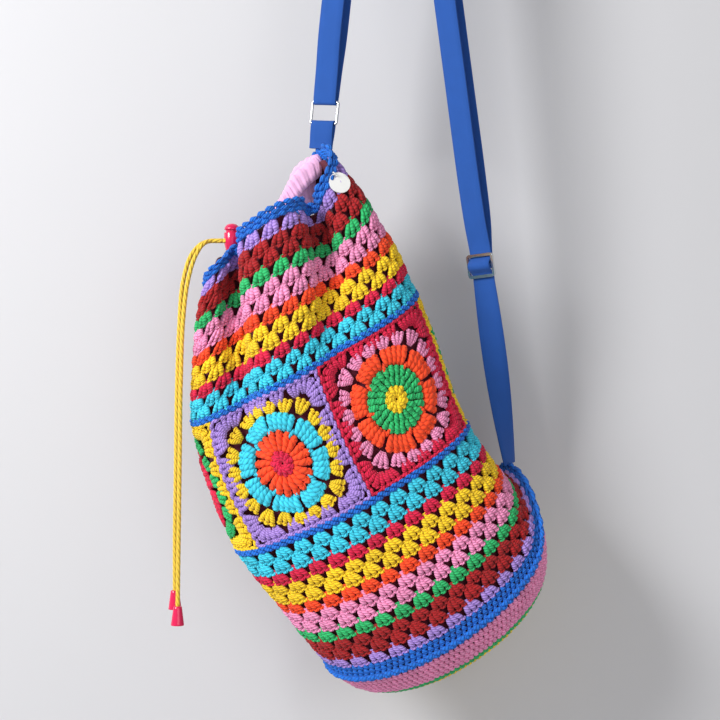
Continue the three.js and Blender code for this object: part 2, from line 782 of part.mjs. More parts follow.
function hookLayer(side) {
  const steps = 7;
  const radius = strapMiddle + side * (WEB_THICK + WEB_LAYER_GAP) / 2;
  const across = new THREE.Vector3(0, 1, 0);
  return Array.from({ length: steps + 1 }, (_, i) => {
    const angle = THREE.MathUtils.lerp(rightLean, Math.PI - strapSlope, i / steps);
    const out = new THREE.Vector3(Math.cos(angle), 0, Math.sin(angle));
    return { p: hookCentre.clone().addScaledVector(out, radius), w: across };
  });
}

const ringFrame = legFrame(leftStart, leftUp, leftLength, -90, LEFT_TURN);
const sliderMiddle = legFrame(rightStart, rightUp, rightLength, 90, RIGHT_TURN);
const sliderFrame = { ...sliderMiddle, p: local(sliderMiddle, 0, SLIDER_BACK) };
const behindBars = -SLIDER_PLATE / 2 - WEB_THICK / 2 - 2 * FIT;
const sliderTurn = Math.hypot(SLIDER_BAR, SLIDER_PLATE) / 2 + FIT + WEB_THICK / 2;
const overBar = sliderTurn + WEB_THICK + FIT;

function addStrap() {
  const barEdge = SLIDER_HEIGHT / 2 - SLIDER_BAR;
  const foot = strandFrame(footPoint, rightUp, FOOT_TURN);
  const lowerTurn = (share) => THREE.MathUtils.lerp(RIGHT_TURN, FOOT_TURN, share);
  const lower = [0.85, 0.6, 0.35, 0.12].map((share) => {
    const p = footPoint.clone().lerp(local(sliderFrame, -SLIDER_HEIGHT, behindBars), share);
    return { p, w: strandFrame(p, rightUp, lowerTurn(share)).w };
  });
  const stations = [
    station(foot, -FOOT_LAP, 0),
    ...lower.reverse(),
    station(sliderFrame, -SLIDER_HEIGHT / 2 - SLIDER_BAR, behindBars),
    station(sliderFrame, -barEdge, behindBars),
    ...turnStations(sliderFrame, overBar, -52, 52, 4),
    station(sliderFrame, barEdge, behindBars),
    station(sliderFrame, SLIDER_HEIGHT / 2 + SLIDER_BAR, behindBars),
    ...rightLayer(1).reverse(),
    ...hookLayer(1),
    ...leftLayer(1),
    ...turnStations(ringFrame, barTurn, 0, -180, 5),
    ...leftLayer(-1).reverse(),
    ...hookLayer(-1).reverse(),
    ...rightLayer(-1),
    station(sliderFrame, SLIDER_HEIGHT / 2, behindBars - WEB_THICK - 2 * FIT),
    station(sliderFrame, barEdge, behindBars - WEB_THICK - 1.5 * FIT),
    ...turnStations(sliderFrame, sliderTurn, 165, 390, 6),
  ];
  addMesh('shoulder_strap', ribbon(stations), colours.webbing);
}

// Ring of a round wire: out and side are the two directions across it
function wireSection(centre, out, side, diameter, sides) {
  return around(sides, (i, turn) => {
    const angle = 2 * Math.PI * turn;
    const p = centre.clone().addScaledVector(out, diameter / 2 * Math.cos(angle));
    return p.addScaledVector(side, diameter / 2 * Math.sin(angle));
  });
}

// Closed loop of round wire through rounded corners
function wireLoop(frame, width, height, bend, wire, sides, cornerSteps, drop) {
  const path = [];
  const corners = [[1, 1, 0], [-1, 1, 90], [-1, -1, 180], [1, -1, 270]];
  for (const [x, y, from] of corners) {
    for (let i = 0; i <= cornerSteps; i++) {
      const angle = rad(from + 90 * i / cornerSteps);
      const w = x * (width / 2 - bend) + bend * Math.cos(angle);
      const t = y * (height / 2 - bend) + bend * Math.sin(angle);
      const out = frame.w.clone().multiplyScalar(Math.cos(angle)).addScaledVector(frame.t, Math.sin(angle));
      path.push({ p: local(frame, t - drop, 0, w), out });
    }
  }
  return skinned(path.map(({ p, out }) => wireSection(p, out, frame.n, wire, sides)), true);
}

function addRing() {
  const loop = wireLoop(ringFrame, RING_WIDTH - WIRE, RING_HEIGHT - WIRE, RING_BEND, WIRE, 8, 2, barSpacing / 2);
  addMesh('rectangular_ring', loop, colours.metal, 0.3, 1);
}

function addTab() {
  const bar = { ...ringFrame, p: ringBottom };
  const foot = (side) => station(bar, -TAB_LENGTH, side * (WEB_THICK / 2 + FIT / 2));
  const middle = (side) => station(bar, -TAB_LENGTH / 2, side * barTurn * 0.8);
  const stations = [
    foot(1),
    middle(1),
    ...turnStations(bar, barTurn, 0, 180, 5),
    middle(-1),
    foot(-1),
  ];
  addMesh('ring_tab', ribbon(stations), colours.webbing);
}

function roundedRectangle(width, height, bend) {
  const shape = new THREE.Shape();
  const x = width / 2 - bend;
  const y = height / 2 - bend;
  shape.absarc(x, y, bend, 0, Math.PI / 2);
  shape.absarc(-x, y, bend, Math.PI / 2, Math.PI);
  shape.absarc(-x, -y, bend, Math.PI, 1.5 * Math.PI);
  shape.absarc(x, -y, bend, 1.5 * Math.PI, 2 * Math.PI);
  return shape;
}

function slot(width, from, to) {
  const path = new THREE.Path();
  path.moveTo(-width / 2, from);
  path.lineTo(-width / 2, to);
  path.lineTo(width / 2, to);
  path.lineTo(width / 2, from);
  return path;
}

function addSlider() {
  const shape = roundedRectangle(SLIDER_WIDTH, SLIDER_HEIGHT, SLIDER_BEND);
  const inner = WEB_WIDTH + 1;
  const edge = SLIDER_HEIGHT / 2 - SLIDER_BAR;
  shape.holes.push(slot(inner, SLIDER_BAR / 2, edge), slot(inner, -edge, -SLIDER_BAR / 2));
  const geometry = new THREE.ExtrudeGeometry(shape, {
    depth: SLIDER_PLATE, bevelEnabled: false, curveSegments: 3,
  });
  geometry.translate(0, 0, -SLIDER_PLATE / 2);
  const { p, t, n } = sliderFrame;
  const flip = new THREE.Vector3().crossVectors(t, n);
  geometry.applyMatrix4(new THREE.Matrix4().makeBasis(flip, t, new THREE.Vector3().crossVectors(flip, t)));
  geometry.translate(p.x, p.y, p.z);
  addMesh('strap_slider', geometry, colours.metal, 0.3, 1);
}

// Drawcord: round the mouth inside the casing and out through the lock at the left corner
const cordAcross = CORD_RADIUS + LANE_GAP / 2;
const cordDepth = CASING_ABOVE - CASING_CLOTH - channel / 2;

function cordPoint(angle) {
  return casingPoint(angle, -cordDepth, 0);
}

const corner = cordPoint(180);
const casingOut = CASING_CLOTH + channel / 2 + 1.5 * RUFFLE;
const lockReach = LOCK_RADIUS + casingOut + FIT;
const lockCentre = corner.clone().add(new THREE.Vector3(-lockReach, 0, LOCK_ABOVE));

function lane(x, side) {
  return lockCentre.clone().add(new THREE.Vector3(x, side * cordAcross, 0));
}

function cordTube(points, steps) {
  const curve = new THREE.CatmullRomCurve3(points, false, 'centripetal');
  const section = new THREE.Shape();
  section.absarc(0, 0, CORD_RADIUS, 0, 2 * Math.PI);
  return new THREE.ExtrudeGeometry(section, { steps, curveSegments: CORD_SIDES / 2, extrudePath: curve });
}

const LOOP_ANGLES = [166, 156, 144, 132, 120, 108, 96, 84, 72, 60, 48, 36, 24, 12, 0];

function cordLoop() {
  const half = (side) => [
    lane(-LOCK_RADIUS - 1, side),
    lane(0, side),
    lane(LOCK_RADIUS, side),
    lane(lockReach, side),
    ...LOOP_ANGLES.map((angle) => cordPoint(-side * angle)),
  ];
  const front = half(-1);
  const back = half(1).slice(0, -1).reverse();
  return [...front, ...back];
}

function addCord() {
  addMesh('drawcord_in_casing', cordTube(cordLoop(), LOOP_STEPS), colours.cord);
  for (const [name, side, route] of [['front', -1, FRONT_CORD], ['back', 1, BACK_CORD]]) {
    const start = lane(-LOCK_RADIUS - 1 - FIT, side);
    const points = route.map(([x, y, z]) => start.clone().add(new THREE.Vector3(x, y, z)));
    addMesh(`drawcord_end_${name}`, cordTube(points, 26), colours.cord);
    addCordEnd(name, points.at(-1), points.at(-2));
  }
}

function addCordEnd(name, tip, before) {
  const bore = CORD_RADIUS + FIT;
  const profile = [
    [0, -FIT],
    [bore, -FIT],
    [bore, END_GRIP],
    [END_TOP - 0.8, END_GRIP],
    [END_TOP, END_GRIP - 0.8],
    [END_MOUTH, END_GRIP - END_LENGTH],
    [END_MOUTH - 1.2, END_GRIP - END_LENGTH],
    [bore, -5],
    [0, -5],
  ].map(([r, z]) => new THREE.Vector2(r, z));
  const geometry = new THREE.LatheGeometry(profile.reverse(), 12);
  geometry.rotateX(Math.PI / 2);
  const up = before.clone().sub(tip).normalize();
  geometry.applyQuaternion(new THREE.Quaternion().setFromUnitVectors(UP, up));
  geometry.translate(tip.x, tip.y, tip.z);
  addMesh(`cord_end_${name}`, geometry, colours.plastic, 0.35);
}

// Spring cord lock: body with a bore and a cross slot, a button whose stem has the same slot, a spring
function solid(geometry) {
  geometry.deleteAttribute('normal');
  geometry.deleteAttribute('uv');
  const merged = mergeVertices(geometry, 1e-4);
  const mesh = new wasm.Mesh({
    numProp: 3,
    vertProperties: new Float32Array(merged.attributes.position.array),
    triVerts: new Uint32Array(merged.index.array),
  });
  return new wasm.Manifold(mesh);
}

function geometryOf(manifold) {
  const mesh = manifold.getMesh();
  const geometry = new THREE.BufferGeometry();
  geometry.setAttribute('position', new THREE.BufferAttribute(mesh.vertProperties, 3));
  geometry.setIndex(new THREE.BufferAttribute(mesh.triVerts, 1));
  return geometry;
}

function turned(profile, segments) {
  const geometry = new THREE.LatheGeometry(profile.map(([r, z]) => new THREE.Vector2(r, z)), segments);
  return geometry.rotateX(Math.PI / 2);
}

const slotWide = 2 * (cordAcross + CORD_RADIUS + FIT);
const lockTop = LOCK_LENGTH * 0.42;
const lockBottom = lockTop - LOCK_LENGTH;
const stemBottom = -CORD_RADIUS - STEM_BELOW;

function addLock() {
  const shell = turned([
    [0, lockBottom],
    [LOCK_RADIUS * 0.6, lockBottom],
    [LOCK_RADIUS * 0.85, lockBottom + 4],
    [LOCK_RADIUS, 0],
    [LOCK_RADIUS, lockTop],
    [LOCK_BORE, lockTop],
    [LOCK_BORE, lockBottom + LOCK_FLOOR],
    [0, lockBottom + LOCK_FLOOR],
  ], 16);
  const height = 2 * (CORD_RADIUS + FIT);
  const through = new THREE.BoxGeometry(4 * LOCK_RADIUS, slotWide, height);
  const body = solid(shell).subtract(solid(through));
  const stemSlot = new THREE.BoxGeometry(4 * LOCK_RADIUS, slotWide, height + BUTTON_TRAVEL);
  stemSlot.translate(0, 0, BUTTON_TRAVEL / 2);
  const head = lockTop + BUTTON_TRAVEL + FIT;
  const button = turned([
    [0, stemBottom],
    [LOCK_BORE - FIT, stemBottom],
    [LOCK_BORE - FIT, head],
    [BUTTON_RADIUS, head],
    [BUTTON_RADIUS * 0.9, head + BUTTON_DOME * 0.5],
    [BUTTON_RADIUS * 0.5, head + BUTTON_DOME * 0.9],
    [0, head + BUTTON_DOME],
  ], 16);
  const plunger = solid(button).subtract(solid(stemSlot));
  const place = (geometry) => geometry.translate(lockCentre.x, lockCentre.y, lockCentre.z);
  addMesh('cord_lock_body', place(geometryOf(body)), colours.plastic, 0.35);
  addMesh('cord_lock_button', place(geometryOf(plunger)), colours.plastic, 0.35);
}

function addSpring() {
  const low = lockBottom + LOCK_FLOOR + FIT + SPRING_WIRE / 2;
  const high = stemBottom - FIT - SPRING_WIRE / 2;
  const steps = 8 * SPRING_TURNS;
  const rings = Array.from({ length: steps + 1 }, (_, i) => {
    const angle = 2 * Math.PI * SPRING_TURNS * i / steps;
    const out = new THREE.Vector3(Math.cos(angle), Math.sin(angle), 0);
    const p = lockCentre.clone().addScaledVector(out, SPRING_RADIUS);
    p.z += THREE.MathUtils.lerp(low, high, i / steps);
    return wireSection(p, out, UP, SPRING_WIRE, 6);
  });
  addMesh('cord_lock_spring', skinned(rings), colours.metal, 0.3, 1);
}

// Round tag lying on the rounds beside the peak, and the thread loop that holds it
const tagShare = mouth.shareAt(TAG_ANGLE);
const tagPlace = wall(tagShare, TAG_DROP);
const tagRound = wall(tagShare + 0.02, TAG_DROP).sub(wall(tagShare - 0.02, TAG_DROP));
const tagDown = wall(tagShare, TAG_DROP + TAG_RADIUS).sub(wall(tagShare, TAG_DROP - TAG_RADIUS));
const tagOut = tagRound.cross(tagDown).normalize();
if (tagOut.y > 0) tagOut.negate();
const tagUp = UP.clone().addScaledVector(tagOut, -UP.dot(tagOut)).normalize();
const tagRight = new THREE.Vector3().crossVectors(tagUp, tagOut);
const holeWay = tagUp.clone().applyAxisAngle(tagOut, rad(TAG_TURN));
const tagHole = tagPlace.clone().addScaledVector(tagOut, TAG_OFF).addScaledVector(holeWay, TAG_HOLE_REACH);

function addTag() {
  const disc = new THREE.Shape();
  disc.absarc(0, 0, TAG_RADIUS, 0, 2 * Math.PI);
  const hole = new THREE.Path();
  const turn = rad(90 + TAG_TURN);
  hole.absarc(TAG_HOLE_REACH * Math.cos(turn), TAG_HOLE_REACH * Math.sin(turn), TAG_HOLE, 0, 2 * Math.PI);
  disc.holes.push(hole);
  const geometry = new THREE.ExtrudeGeometry(disc, { depth: TAG_THICK, bevelEnabled: false, curveSegments: 10 });
  geometry.applyMatrix4(new THREE.Matrix4().makeBasis(tagRight, tagUp, tagOut));
  const p = tagPlace.clone().addScaledVector(tagOut, TAG_OFF);
  geometry.translate(p.x, p.y, p.z);
  addMesh('round_tag', geometry, colours.white, 0.4);
}

function addTagLoop() {
  const side = new THREE.Vector3().crossVectors(holeWay, tagOut);
  const bend = TAG_LOOP / 2;
  const crown = TAG_THICK + FIT;
  const foot = (away) => {
    const p = tagHole.clone().addScaledVector(holeWay, away).addScaledVector(tagOut, CLUSTER_RELIEF - TAG_OFF);
    return wireSection(p, holeWay.clone().multiplyScalar(away ? 1 : -1), side, THREAD, 6);
  };
  const bow = Array.from({ length: 7 }, (_, i) => {
    const angle = Math.PI * (1 - i / 6);
    const out = holeWay.clone().multiplyScalar(Math.cos(angle)).addScaledVector(tagOut, Math.sin(angle));
    const p = tagHole.clone().addScaledVector(holeWay, bend).addScaledVector(tagOut, crown);
    return wireSection(p.addScaledVector(out, bend), out, side, THREAD, 6);
  });
  addMesh('tag_loop', skinned([foot(0), ...bow, foot(TAG_LOOP)]), colours.white);
}

addWall();
addSquares();
addBase();
addCasing();
addLining();
addStrap();
addRing();
addTab();
addSlider();
addCord();
addLock();
addSpring();
addTag();
addTagLoop();

export default bag;
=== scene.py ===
# %% [markdown]
# # Crochet bucket bag on its webbing strap
# The CAD of the bag is loaded first, in metres, with the hook at the origin and Z up. Every piece below is
# made at that place and size, and takes over from its plain CAD piece.

# %% Load the CAD
import json
import math

import bpy
import numpy as np
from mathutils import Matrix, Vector

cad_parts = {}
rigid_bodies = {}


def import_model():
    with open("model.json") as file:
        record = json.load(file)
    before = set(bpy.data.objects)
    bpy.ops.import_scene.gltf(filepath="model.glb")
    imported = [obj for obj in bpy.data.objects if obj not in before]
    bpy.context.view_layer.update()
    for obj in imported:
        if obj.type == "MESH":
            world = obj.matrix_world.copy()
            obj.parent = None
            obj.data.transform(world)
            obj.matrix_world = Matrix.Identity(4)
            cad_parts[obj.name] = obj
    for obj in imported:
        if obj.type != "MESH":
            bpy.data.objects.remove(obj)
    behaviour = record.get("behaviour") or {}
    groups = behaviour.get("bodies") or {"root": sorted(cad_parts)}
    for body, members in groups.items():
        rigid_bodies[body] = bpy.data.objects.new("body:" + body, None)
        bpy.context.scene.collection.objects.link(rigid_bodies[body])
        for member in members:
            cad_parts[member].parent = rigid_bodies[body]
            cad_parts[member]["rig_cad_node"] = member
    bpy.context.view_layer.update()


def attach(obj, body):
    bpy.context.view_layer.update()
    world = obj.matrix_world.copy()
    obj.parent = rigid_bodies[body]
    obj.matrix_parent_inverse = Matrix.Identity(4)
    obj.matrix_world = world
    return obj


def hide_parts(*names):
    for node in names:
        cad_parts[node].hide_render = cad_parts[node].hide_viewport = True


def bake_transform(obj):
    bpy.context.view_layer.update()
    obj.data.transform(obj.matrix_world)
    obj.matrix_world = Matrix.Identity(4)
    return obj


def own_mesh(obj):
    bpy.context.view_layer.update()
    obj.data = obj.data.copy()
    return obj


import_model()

MM = 0.001

# %% [markdown]
# ## Camera
# The photograph looks straight at the bag from the front with a long lens. At this distance and lens the
# picture is 0.72 m across at the bag, so one pixel is about one millimetre.

# %% Camera
camera_data = bpy.data.cameras.new("camera")
camera_data.lens, camera_data.sensor_width = 80, 36
camera = bpy.data.objects.new("camera", camera_data)
camera.location = (-0.028, -1.6, -0.720)
camera.rotation_euler = (math.radians(90), 0, 0)
bpy.context.collection.objects.link(camera)
bpy.context.scene.camera = camera
print("camera at", tuple(camera.location))

# %% [markdown]
# ## Small helpers
# Meshes are made from arrays in millimetres. A tube follows a line and has a yarn's strands twisted round it:
# its UV map runs round the tube and along it, which is what the yarn and cord materials draw their plies on.
# The other helpers do what many pieces need: join, settle modifiers into a plain mesh, turn faces outward, and
# hide the CAD piece that a finished piece stands for.

# %% Mesh helpers
def unit(v):
    v = np.asarray(v, float)
    return v / np.maximum(np.linalg.norm(v, axis=-1, keepdims=True), 1e-12)


def added(name, data):
    obj = bpy.data.objects.new(name, data)
    bpy.context.collection.objects.link(obj)
    return obj


def make_mesh(name, points, faces, loop_uv=None, uv_name="Yarn", material=None):
    mesh = bpy.data.meshes.new(name)
    mesh.from_pydata((np.asarray(points) * MM).tolist(), [], faces)
    if loop_uv is not None:
        layer = mesh.uv_layers.new(name=uv_name)
        layer.data.foreach_set("uv", np.asarray(loop_uv, np.float32).ravel())
    mesh.polygons.foreach_set("use_smooth", [True] * len(mesh.polygons))
    mesh.update()
    if material is not None:
        mesh.materials.append(material)
    return added(name, mesh)


def settled(obj):
    """Gives a piece the plain mesh that its modifiers make."""
    bpy.context.view_layer.update()
    mesh = bpy.data.meshes.new_from_object(obj.evaluated_get(bpy.context.evaluated_depsgraph_get()))
    obj.modifiers.clear()
    obj.data = mesh
    return obj


def chosen(*objects):
    """States the active and selected objects for one of Blender's own tools."""
    return bpy.context.temp_override(active_object=objects[0], object=objects[0], selected_objects=objects,
                                     selected_editable_objects=objects)


def joined(name, *objects):
    if len(objects) > 1:
        with chosen(*objects):
            bpy.ops.object.join()
    objects[0].name = objects[0].data.name = name
    return objects[0]


def outward_faces(obj):
    bpy.context.view_layer.objects.active = obj
    with chosen(obj):
        bpy.ops.object.mode_set(mode="EDIT")
        bpy.ops.mesh.select_all(action="SELECT")
        bpy.ops.mesh.normals_make_consistent(inside=False)
        bpy.ops.object.mode_set(mode="OBJECT")
    return obj


def finished(obj, node, body="bag"):
    """Lets a piece ride a body and hides the CAD piece that it stands for."""
    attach(obj, body)
    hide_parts(node)
    return obj


def lengths_along(line, power=1):
    """How far along a line each point lies. A power below 1 sets a curve's knots more evenly."""
    return np.concatenate([[0], np.cumsum(np.linalg.norm(np.diff(line, axis=0), axis=1) ** power)])


def frames_along(line):
    along = unit(np.gradient(line, axis=0))
    side = np.zeros_like(line)
    start = np.cross(along[0], (0.0, 0.0, 1.0))
    if np.linalg.norm(start) < 0.1:
        start = np.cross(along[0], (0.0, 1.0, 0.0))
    side[0] = unit(start)
    for i in range(1, len(line)):
        side[i] = unit(side[i - 1] - along[i] * np.dot(side[i - 1], along[i]))
    return along, side, np.cross(along, side)


CAP = 0.35
UV_UNIT = 10


def tube(line, radii, sides=8, lobes=2, depth=0.12, turns=0.0, first=0):
    """Vertices, faces and loop UVs of a tube with a lobed, twisted section."""
    line = np.asarray(line, float)
    radii = np.broadcast_to(np.asarray(radii, float), (len(line),))
    along, side, other = frames_along(line)
    steps = lengths_along(line)
    angle = 2 * math.pi * np.arange(sides) / sides
    rings = []
    for i in range(len(line)):
        swing = 2 * math.pi * turns * steps[i] / max(steps[-1], 1e-9)
        r = radii[i] * (1 + depth * np.cos(lobes * angle - swing))
        way = np.cos(angle)[:, None] * side[i] + np.sin(angle)[:, None] * other[i]
        rings.append(line[i] + r[:, None] * way)
    points = list(np.concatenate(rings))
    faces, uv = [], []
    for i in range(len(line) - 1):
        for j in range(sides):
            k = (j + 1) % sides
            a, b = first + i * sides, first + (i + 1) * sides
            faces.append((a + j, a + k, b + k, b + j))
            u0, u1, v0, v1 = j / sides, (j + 1) / sides, steps[i] / UV_UNIT, steps[i + 1] / UV_UNIT
            uv += [(u0, v0), (u1, v0), (u1, v1), (u0, v1)]
    for end, flip in ((0, True), (len(line) - 1, False)):
        middle = first + len(points)
        points.append(line[end] + along[end] * radii[end] * (-CAP if flip else CAP))
        for j in range(sides):
            k = (j + 1) % sides
            a = first + end * sides
            faces.append((a + k, a + j, middle) if flip else (a + j, a + k, middle))
            uv += [(0.5, steps[end] / UV_UNIT)] * 3
    return points, faces, uv


def smooth_line(points, step):
    """A smooth curve through route points, in steps of about that length."""
    points = np.asarray(points, float)
    chord = lengths_along(points, 0.5)
    slopes = tangents(chord, points)
    line = [points[:1]]
    for i in range(len(points) - 1):
        n = max(2, int(np.linalg.norm(points[i + 1] - points[i]) / step + 0.5))
        at = chord[i] + (chord[i + 1] - chord[i]) * np.arange(1, n + 1) / n
        line.append(hermite(chord, points, slopes, at))
    return np.concatenate(line)


def tangents(at, values):
    slopes = np.zeros_like(values)
    rise = np.diff(values, axis=0) / np.diff(at).reshape(-1, *[1] * (values.ndim - 1))
    before, after = np.diff(at)[:-1], np.diff(at)[1:]
    shape = (-1, *[1] * (values.ndim - 1))
    share = (after / (before + after)).reshape(shape)
    slopes[1:-1] = rise[:-1] * share + rise[1:] * (1 - share)
    slopes[0], slopes[-1] = rise[0], rise[-1]
    return slopes


def hermite(at, values, slopes, where):
    where = np.asarray(where, float)
    i = np.clip(np.searchsorted(at, where, side="right") - 1, 0, len(at) - 2)
    width = at[i + 1] - at[i]
    t = (where - at[i]) / width
    shape = (-1, *[1] * (values.ndim - 1))
    inside = np.clip(t, 0, 1).reshape(shape)
    w = width.reshape(shape)
    p = ((1 + 2 * inside) * (1 - inside) ** 2 * values[i] + inside * (1 - inside) ** 2 * w * slopes[i]
         + inside ** 2 * (3 - 2 * inside) * values[i + 1] + inside ** 2 * (inside - 1) * w * slopes[i + 1])
    beyond = ((t - np.clip(t, 0, 1)) * width).reshape(shape)
    edge = np.where((t > 1).reshape(shape), slopes[i + 1], slopes[i])
    return p + beyond * edge


print("helpers ready")

# %% [markdown]
# ## Materials
# Yarn is cotton: matt, a little fuzzy, and made of plies that twist round the strand. Painted shade darkens the colour
# in the grooves between plies, and each stitch is a touch lighter or darker than the next. Webbing has fine ribs, with
# painted shade between them, and raised selvedges; the drawcord is round and plied, and the lock, cord ends and tag
# are moulded plastic.

# %% Materials
def linear(rgb):
    c = np.asarray(rgb, float) / 255
    out = np.where(c <= 0.04045, c / 12.92, ((c + 0.055) / 1.055) ** 2.4)
    return (*out.tolist(), 1.0)


class Surface:
    """A material in the making, with short ways to add sums, colours and bumps to it."""

    def __init__(self, name, roughness, metallic=0.0, sheen=0.0):
        self.material = bpy.data.materials.new(name)
        self.material.use_nodes = True
        self.nodes, self.links = self.material.node_tree.nodes, self.material.node_tree.links
        self.shader = self.nodes["Principled BSDF"]
        for socket, value in (("Roughness", roughness), ("Metallic", metallic), ("Sheen Weight", sheen)):
            self.shader.inputs[socket].default_value = value

    def maths(self, operation, *values):
        node = self.nodes.new("ShaderNodeMath")
        node.operation = operation
        for socket, value in zip(node.inputs, values):
            if isinstance(value, (int, float)):
                socket.default_value = value
            else:
                self.links.new(value, socket)
        return node.outputs[0]

    def uv(self, name):
        place, split = self.nodes.new("ShaderNodeUVMap"), self.nodes.new("ShaderNodeSeparateXYZ")
        place.uv_map = name
        self.links.new(place.outputs["UV"], split.inputs[0])
        return split.outputs["X"], split.outputs["Y"]

    def colour(self, rgb, value, spread, scale=260):
        """Sets the colour, made darker by a value and a little uneven by noise. Gives back the noise."""
        colour, noise = self.nodes.new("ShaderNodeHueSaturation"), self.nodes.new("ShaderNodeTexNoise")
        colour.inputs["Color"].default_value = linear(rgb)
        noise.inputs["Scale"].default_value = scale
        noise.inputs["Detail"].default_value = 3
        place = self.nodes.new("ShaderNodeTexCoord")
        self.links.new(place.outputs["Object"], noise.inputs["Vector"])
        grain = self.maths("MULTIPLY_ADD", noise.outputs["Fac"], spread, 1 - spread / 2)
        self.links.new(self.maths("MULTIPLY", value, grain), colour.inputs["Value"])
        self.links.new(colour.outputs["Color"], self.shader.inputs["Base Color"])
        return noise.outputs["Fac"]

    def bump(self, height, distance):
        node = self.nodes.new("ShaderNodeBump")
        node.inputs["Distance"].default_value = distance
        self.links.new(height, node.inputs["Height"])
        self.links.new(node.outputs["Normal"], self.shader.inputs["Normal"])


def plied(name, rgb, plies, along, tints=True):
    """Plies that twist round a strand, with painted shade darkening the groove between them."""
    surface = Surface(name, 0.82, sheen=0.08)
    surface.shader.inputs["Sheen Roughness"].default_value = 0.6
    around, length = surface.uv("Yarn")
    turn = surface.maths("MULTIPLY", around, 2 * math.pi * plies)
    climb = surface.maths("MULTIPLY_ADD", length, 2 * math.pi * along, turn)
    wave = surface.maths("ABSOLUTE", surface.maths("SINE", surface.maths("MULTIPLY", climb, 0.5)))
    # painted shade: the colour is darkened in the grooves between plies
    shade = surface.maths("MULTIPLY_ADD", wave, 0.34, 0.74)
    if tints:
        tint = surface.nodes.new("ShaderNodeAttribute")
        tint.attribute_name = "tint"
        each = surface.maths("MULTIPLY_ADD", tint.outputs["Fac"], 0.2, 0.9)
        shade = surface.maths("MULTIPLY", shade, each)
    noise = surface.colour(rgb, shade, 0.24)
    surface.bump(surface.maths("MULTIPLY_ADD", noise, 0.35, wave), 0.0007)
    return surface.material


YARNS = {
    "blue": (0, 108, 212), "purple": (172, 138, 220), "dark_red": (168, 0, 10),
    "green": (34, 184, 104), "pink": (246, 150, 196), "orange": (252, 72, 14),
    "yellow": (252, 210, 20), "crimson": (220, 4, 66), "cyan": (56, 208, 234),
}
yarn = {name: plied(f"{name}_yarn", rgb, 2, 3.4) for name, rgb in YARNS.items()}
cord_cotton = plied("drawcord_cotton", (240, 200, 62), 3, 1.5, tints=False)


def plain(name, rgb, roughness, metallic=0.0, scale=900, depth=0.0, spread=0.06, sheen=0.0, coat=0.0):
    surface = Surface(name, roughness, metallic, sheen)
    surface.shader.inputs["Coat Weight"].default_value = coat
    noise = surface.colour(rgb, 1.0, spread, scale)
    if depth:
        surface.bump(noise, depth)
    return surface.material


plastic = plain("plastic", (222, 24, 84), 0.22, spread=0.03, depth=0.00005, coat=0.4)
steel = plain("steel", (205, 207, 210), 0.24, 1.0, 1400, 0.00002)
white_plastic = plain("white_plastic", (246, 246, 244), 0.3, spread=0.02, depth=0.00003)
white_thread = plain("white_thread", (240, 240, 236), 0.8, depth=0.0002, sheen=0.2)
# painted shade: the lining is coloured dark maroon for the shadow inside the bag
lining_cloth = plain("lining_cloth", (96, 12, 40), 0.85, scale=1600, depth=0.0002, spread=0.3, sheen=0.2)
casing_cloth = plain("casing_cloth", (244, 186, 226), 0.85, scale=1800, depth=0.0002, spread=0.12, sheen=0.3)


WIDE, THICK = 25.0, 1.6


def webbing_material():
    """Ribs across and fine lines along the webbing, with painted shade between the ribs and a raised selvedge at each
    side.
    """
    surface = Surface("webbing", 0.85, sheen=0.05)
    across, length = surface.uv("Web")
    half = surface.maths("ABSOLUTE", surface.maths("SUBTRACT", across, WIDE / 2))
    ribs = surface.maths("SINE", surface.maths("MULTIPLY", length, 2 * math.pi / 1.7))
    lines = surface.maths("SINE", surface.maths("MULTIPLY", across, 2 * math.pi / 1.3))
    weave = surface.maths("MULTIPLY_ADD", surface.maths("MULTIPLY", ribs, lines), 0.25, 0.5)
    selvedge = surface.maths("GREATER_THAN", half, 11.2)
    # painted shade: the colour is darkened where the weave's ribs and lines dip
    surface.colour((20, 78, 160), surface.maths("MULTIPLY_ADD", weave, 0.3, 0.84), 0.16, 60)
    surface.bump(surface.maths("MULTIPLY_ADD", selvedge, 0.5, weave), 0.0003)
    return surface.material


webbing = webbing_material()
print(len(bpy.data.materials), "materials")

# %% [markdown]
# ## The hanging wall of the bag
# The crochet is one flexible tube with folds. Its shape is given by eight sections from the gathered mouth
# to the hem: each is an ellipse whose outline is pushed in and out until it is as long as the real girth, so
# the cloth is never stretched, only folded. The tab lifts the mouth's right side into a peak, and the strap's
# foot lifts the hem. Below the hem the same surface carries on as the domed base.

# %% Sections of the wall
GIRTH = 635.0
RIM, ROW, JOIN, SIDE, HEM_HEIGHT = 12.0, 12.8, 5.0, 127.0, 20.0
UPPER_JOIN = RIM + 12 * ROW
SQUARES_TOP = UPPER_JOIN + JOIN
LOWER_JOIN = SQUARES_TOP + SIDE
LOWER_BAND = LOWER_JOIN + JOIN
HEM_TOP = LOWER_BAND + 12 * ROW
HEM = HEM_TOP + HEM_HEIGHT
CLOTH = 4
VALLEYS_AT_MOUTH = np.array([50, 128, 192, 238, 282, 326.0])
VALLEYS_AT_WAIST = np.array([74, 122, 186, 236, 282, 330.0])
ROUND = np.linspace(0, 360, 721)
PEAK_PULL, LOBE_PULL, FOOT_PULL = np.array([-42, 0, 36.0]), np.array([7, 0, -15.0]), np.array([-8, 14, 52.0])
LOBE_ANGLE, FOOT_ANGLE, FOOT_SPREAD = 160, -25, 30


def fold_shape(angle, share):
    turns = VALLEYS_AT_MOUTH * (1 - share) + VALLEYS_AT_WAIST * share
    at = (angle - turns[0]) % 360 + turns[0]
    edges = np.append(turns, turns[0] + 360)
    i = np.clip(np.searchsorted(edges, at, side="right") - 1, 0, 5)
    return 2 * np.sin(math.pi * (at - edges[i]) / (edges[i + 1] - edges[i])) - 1


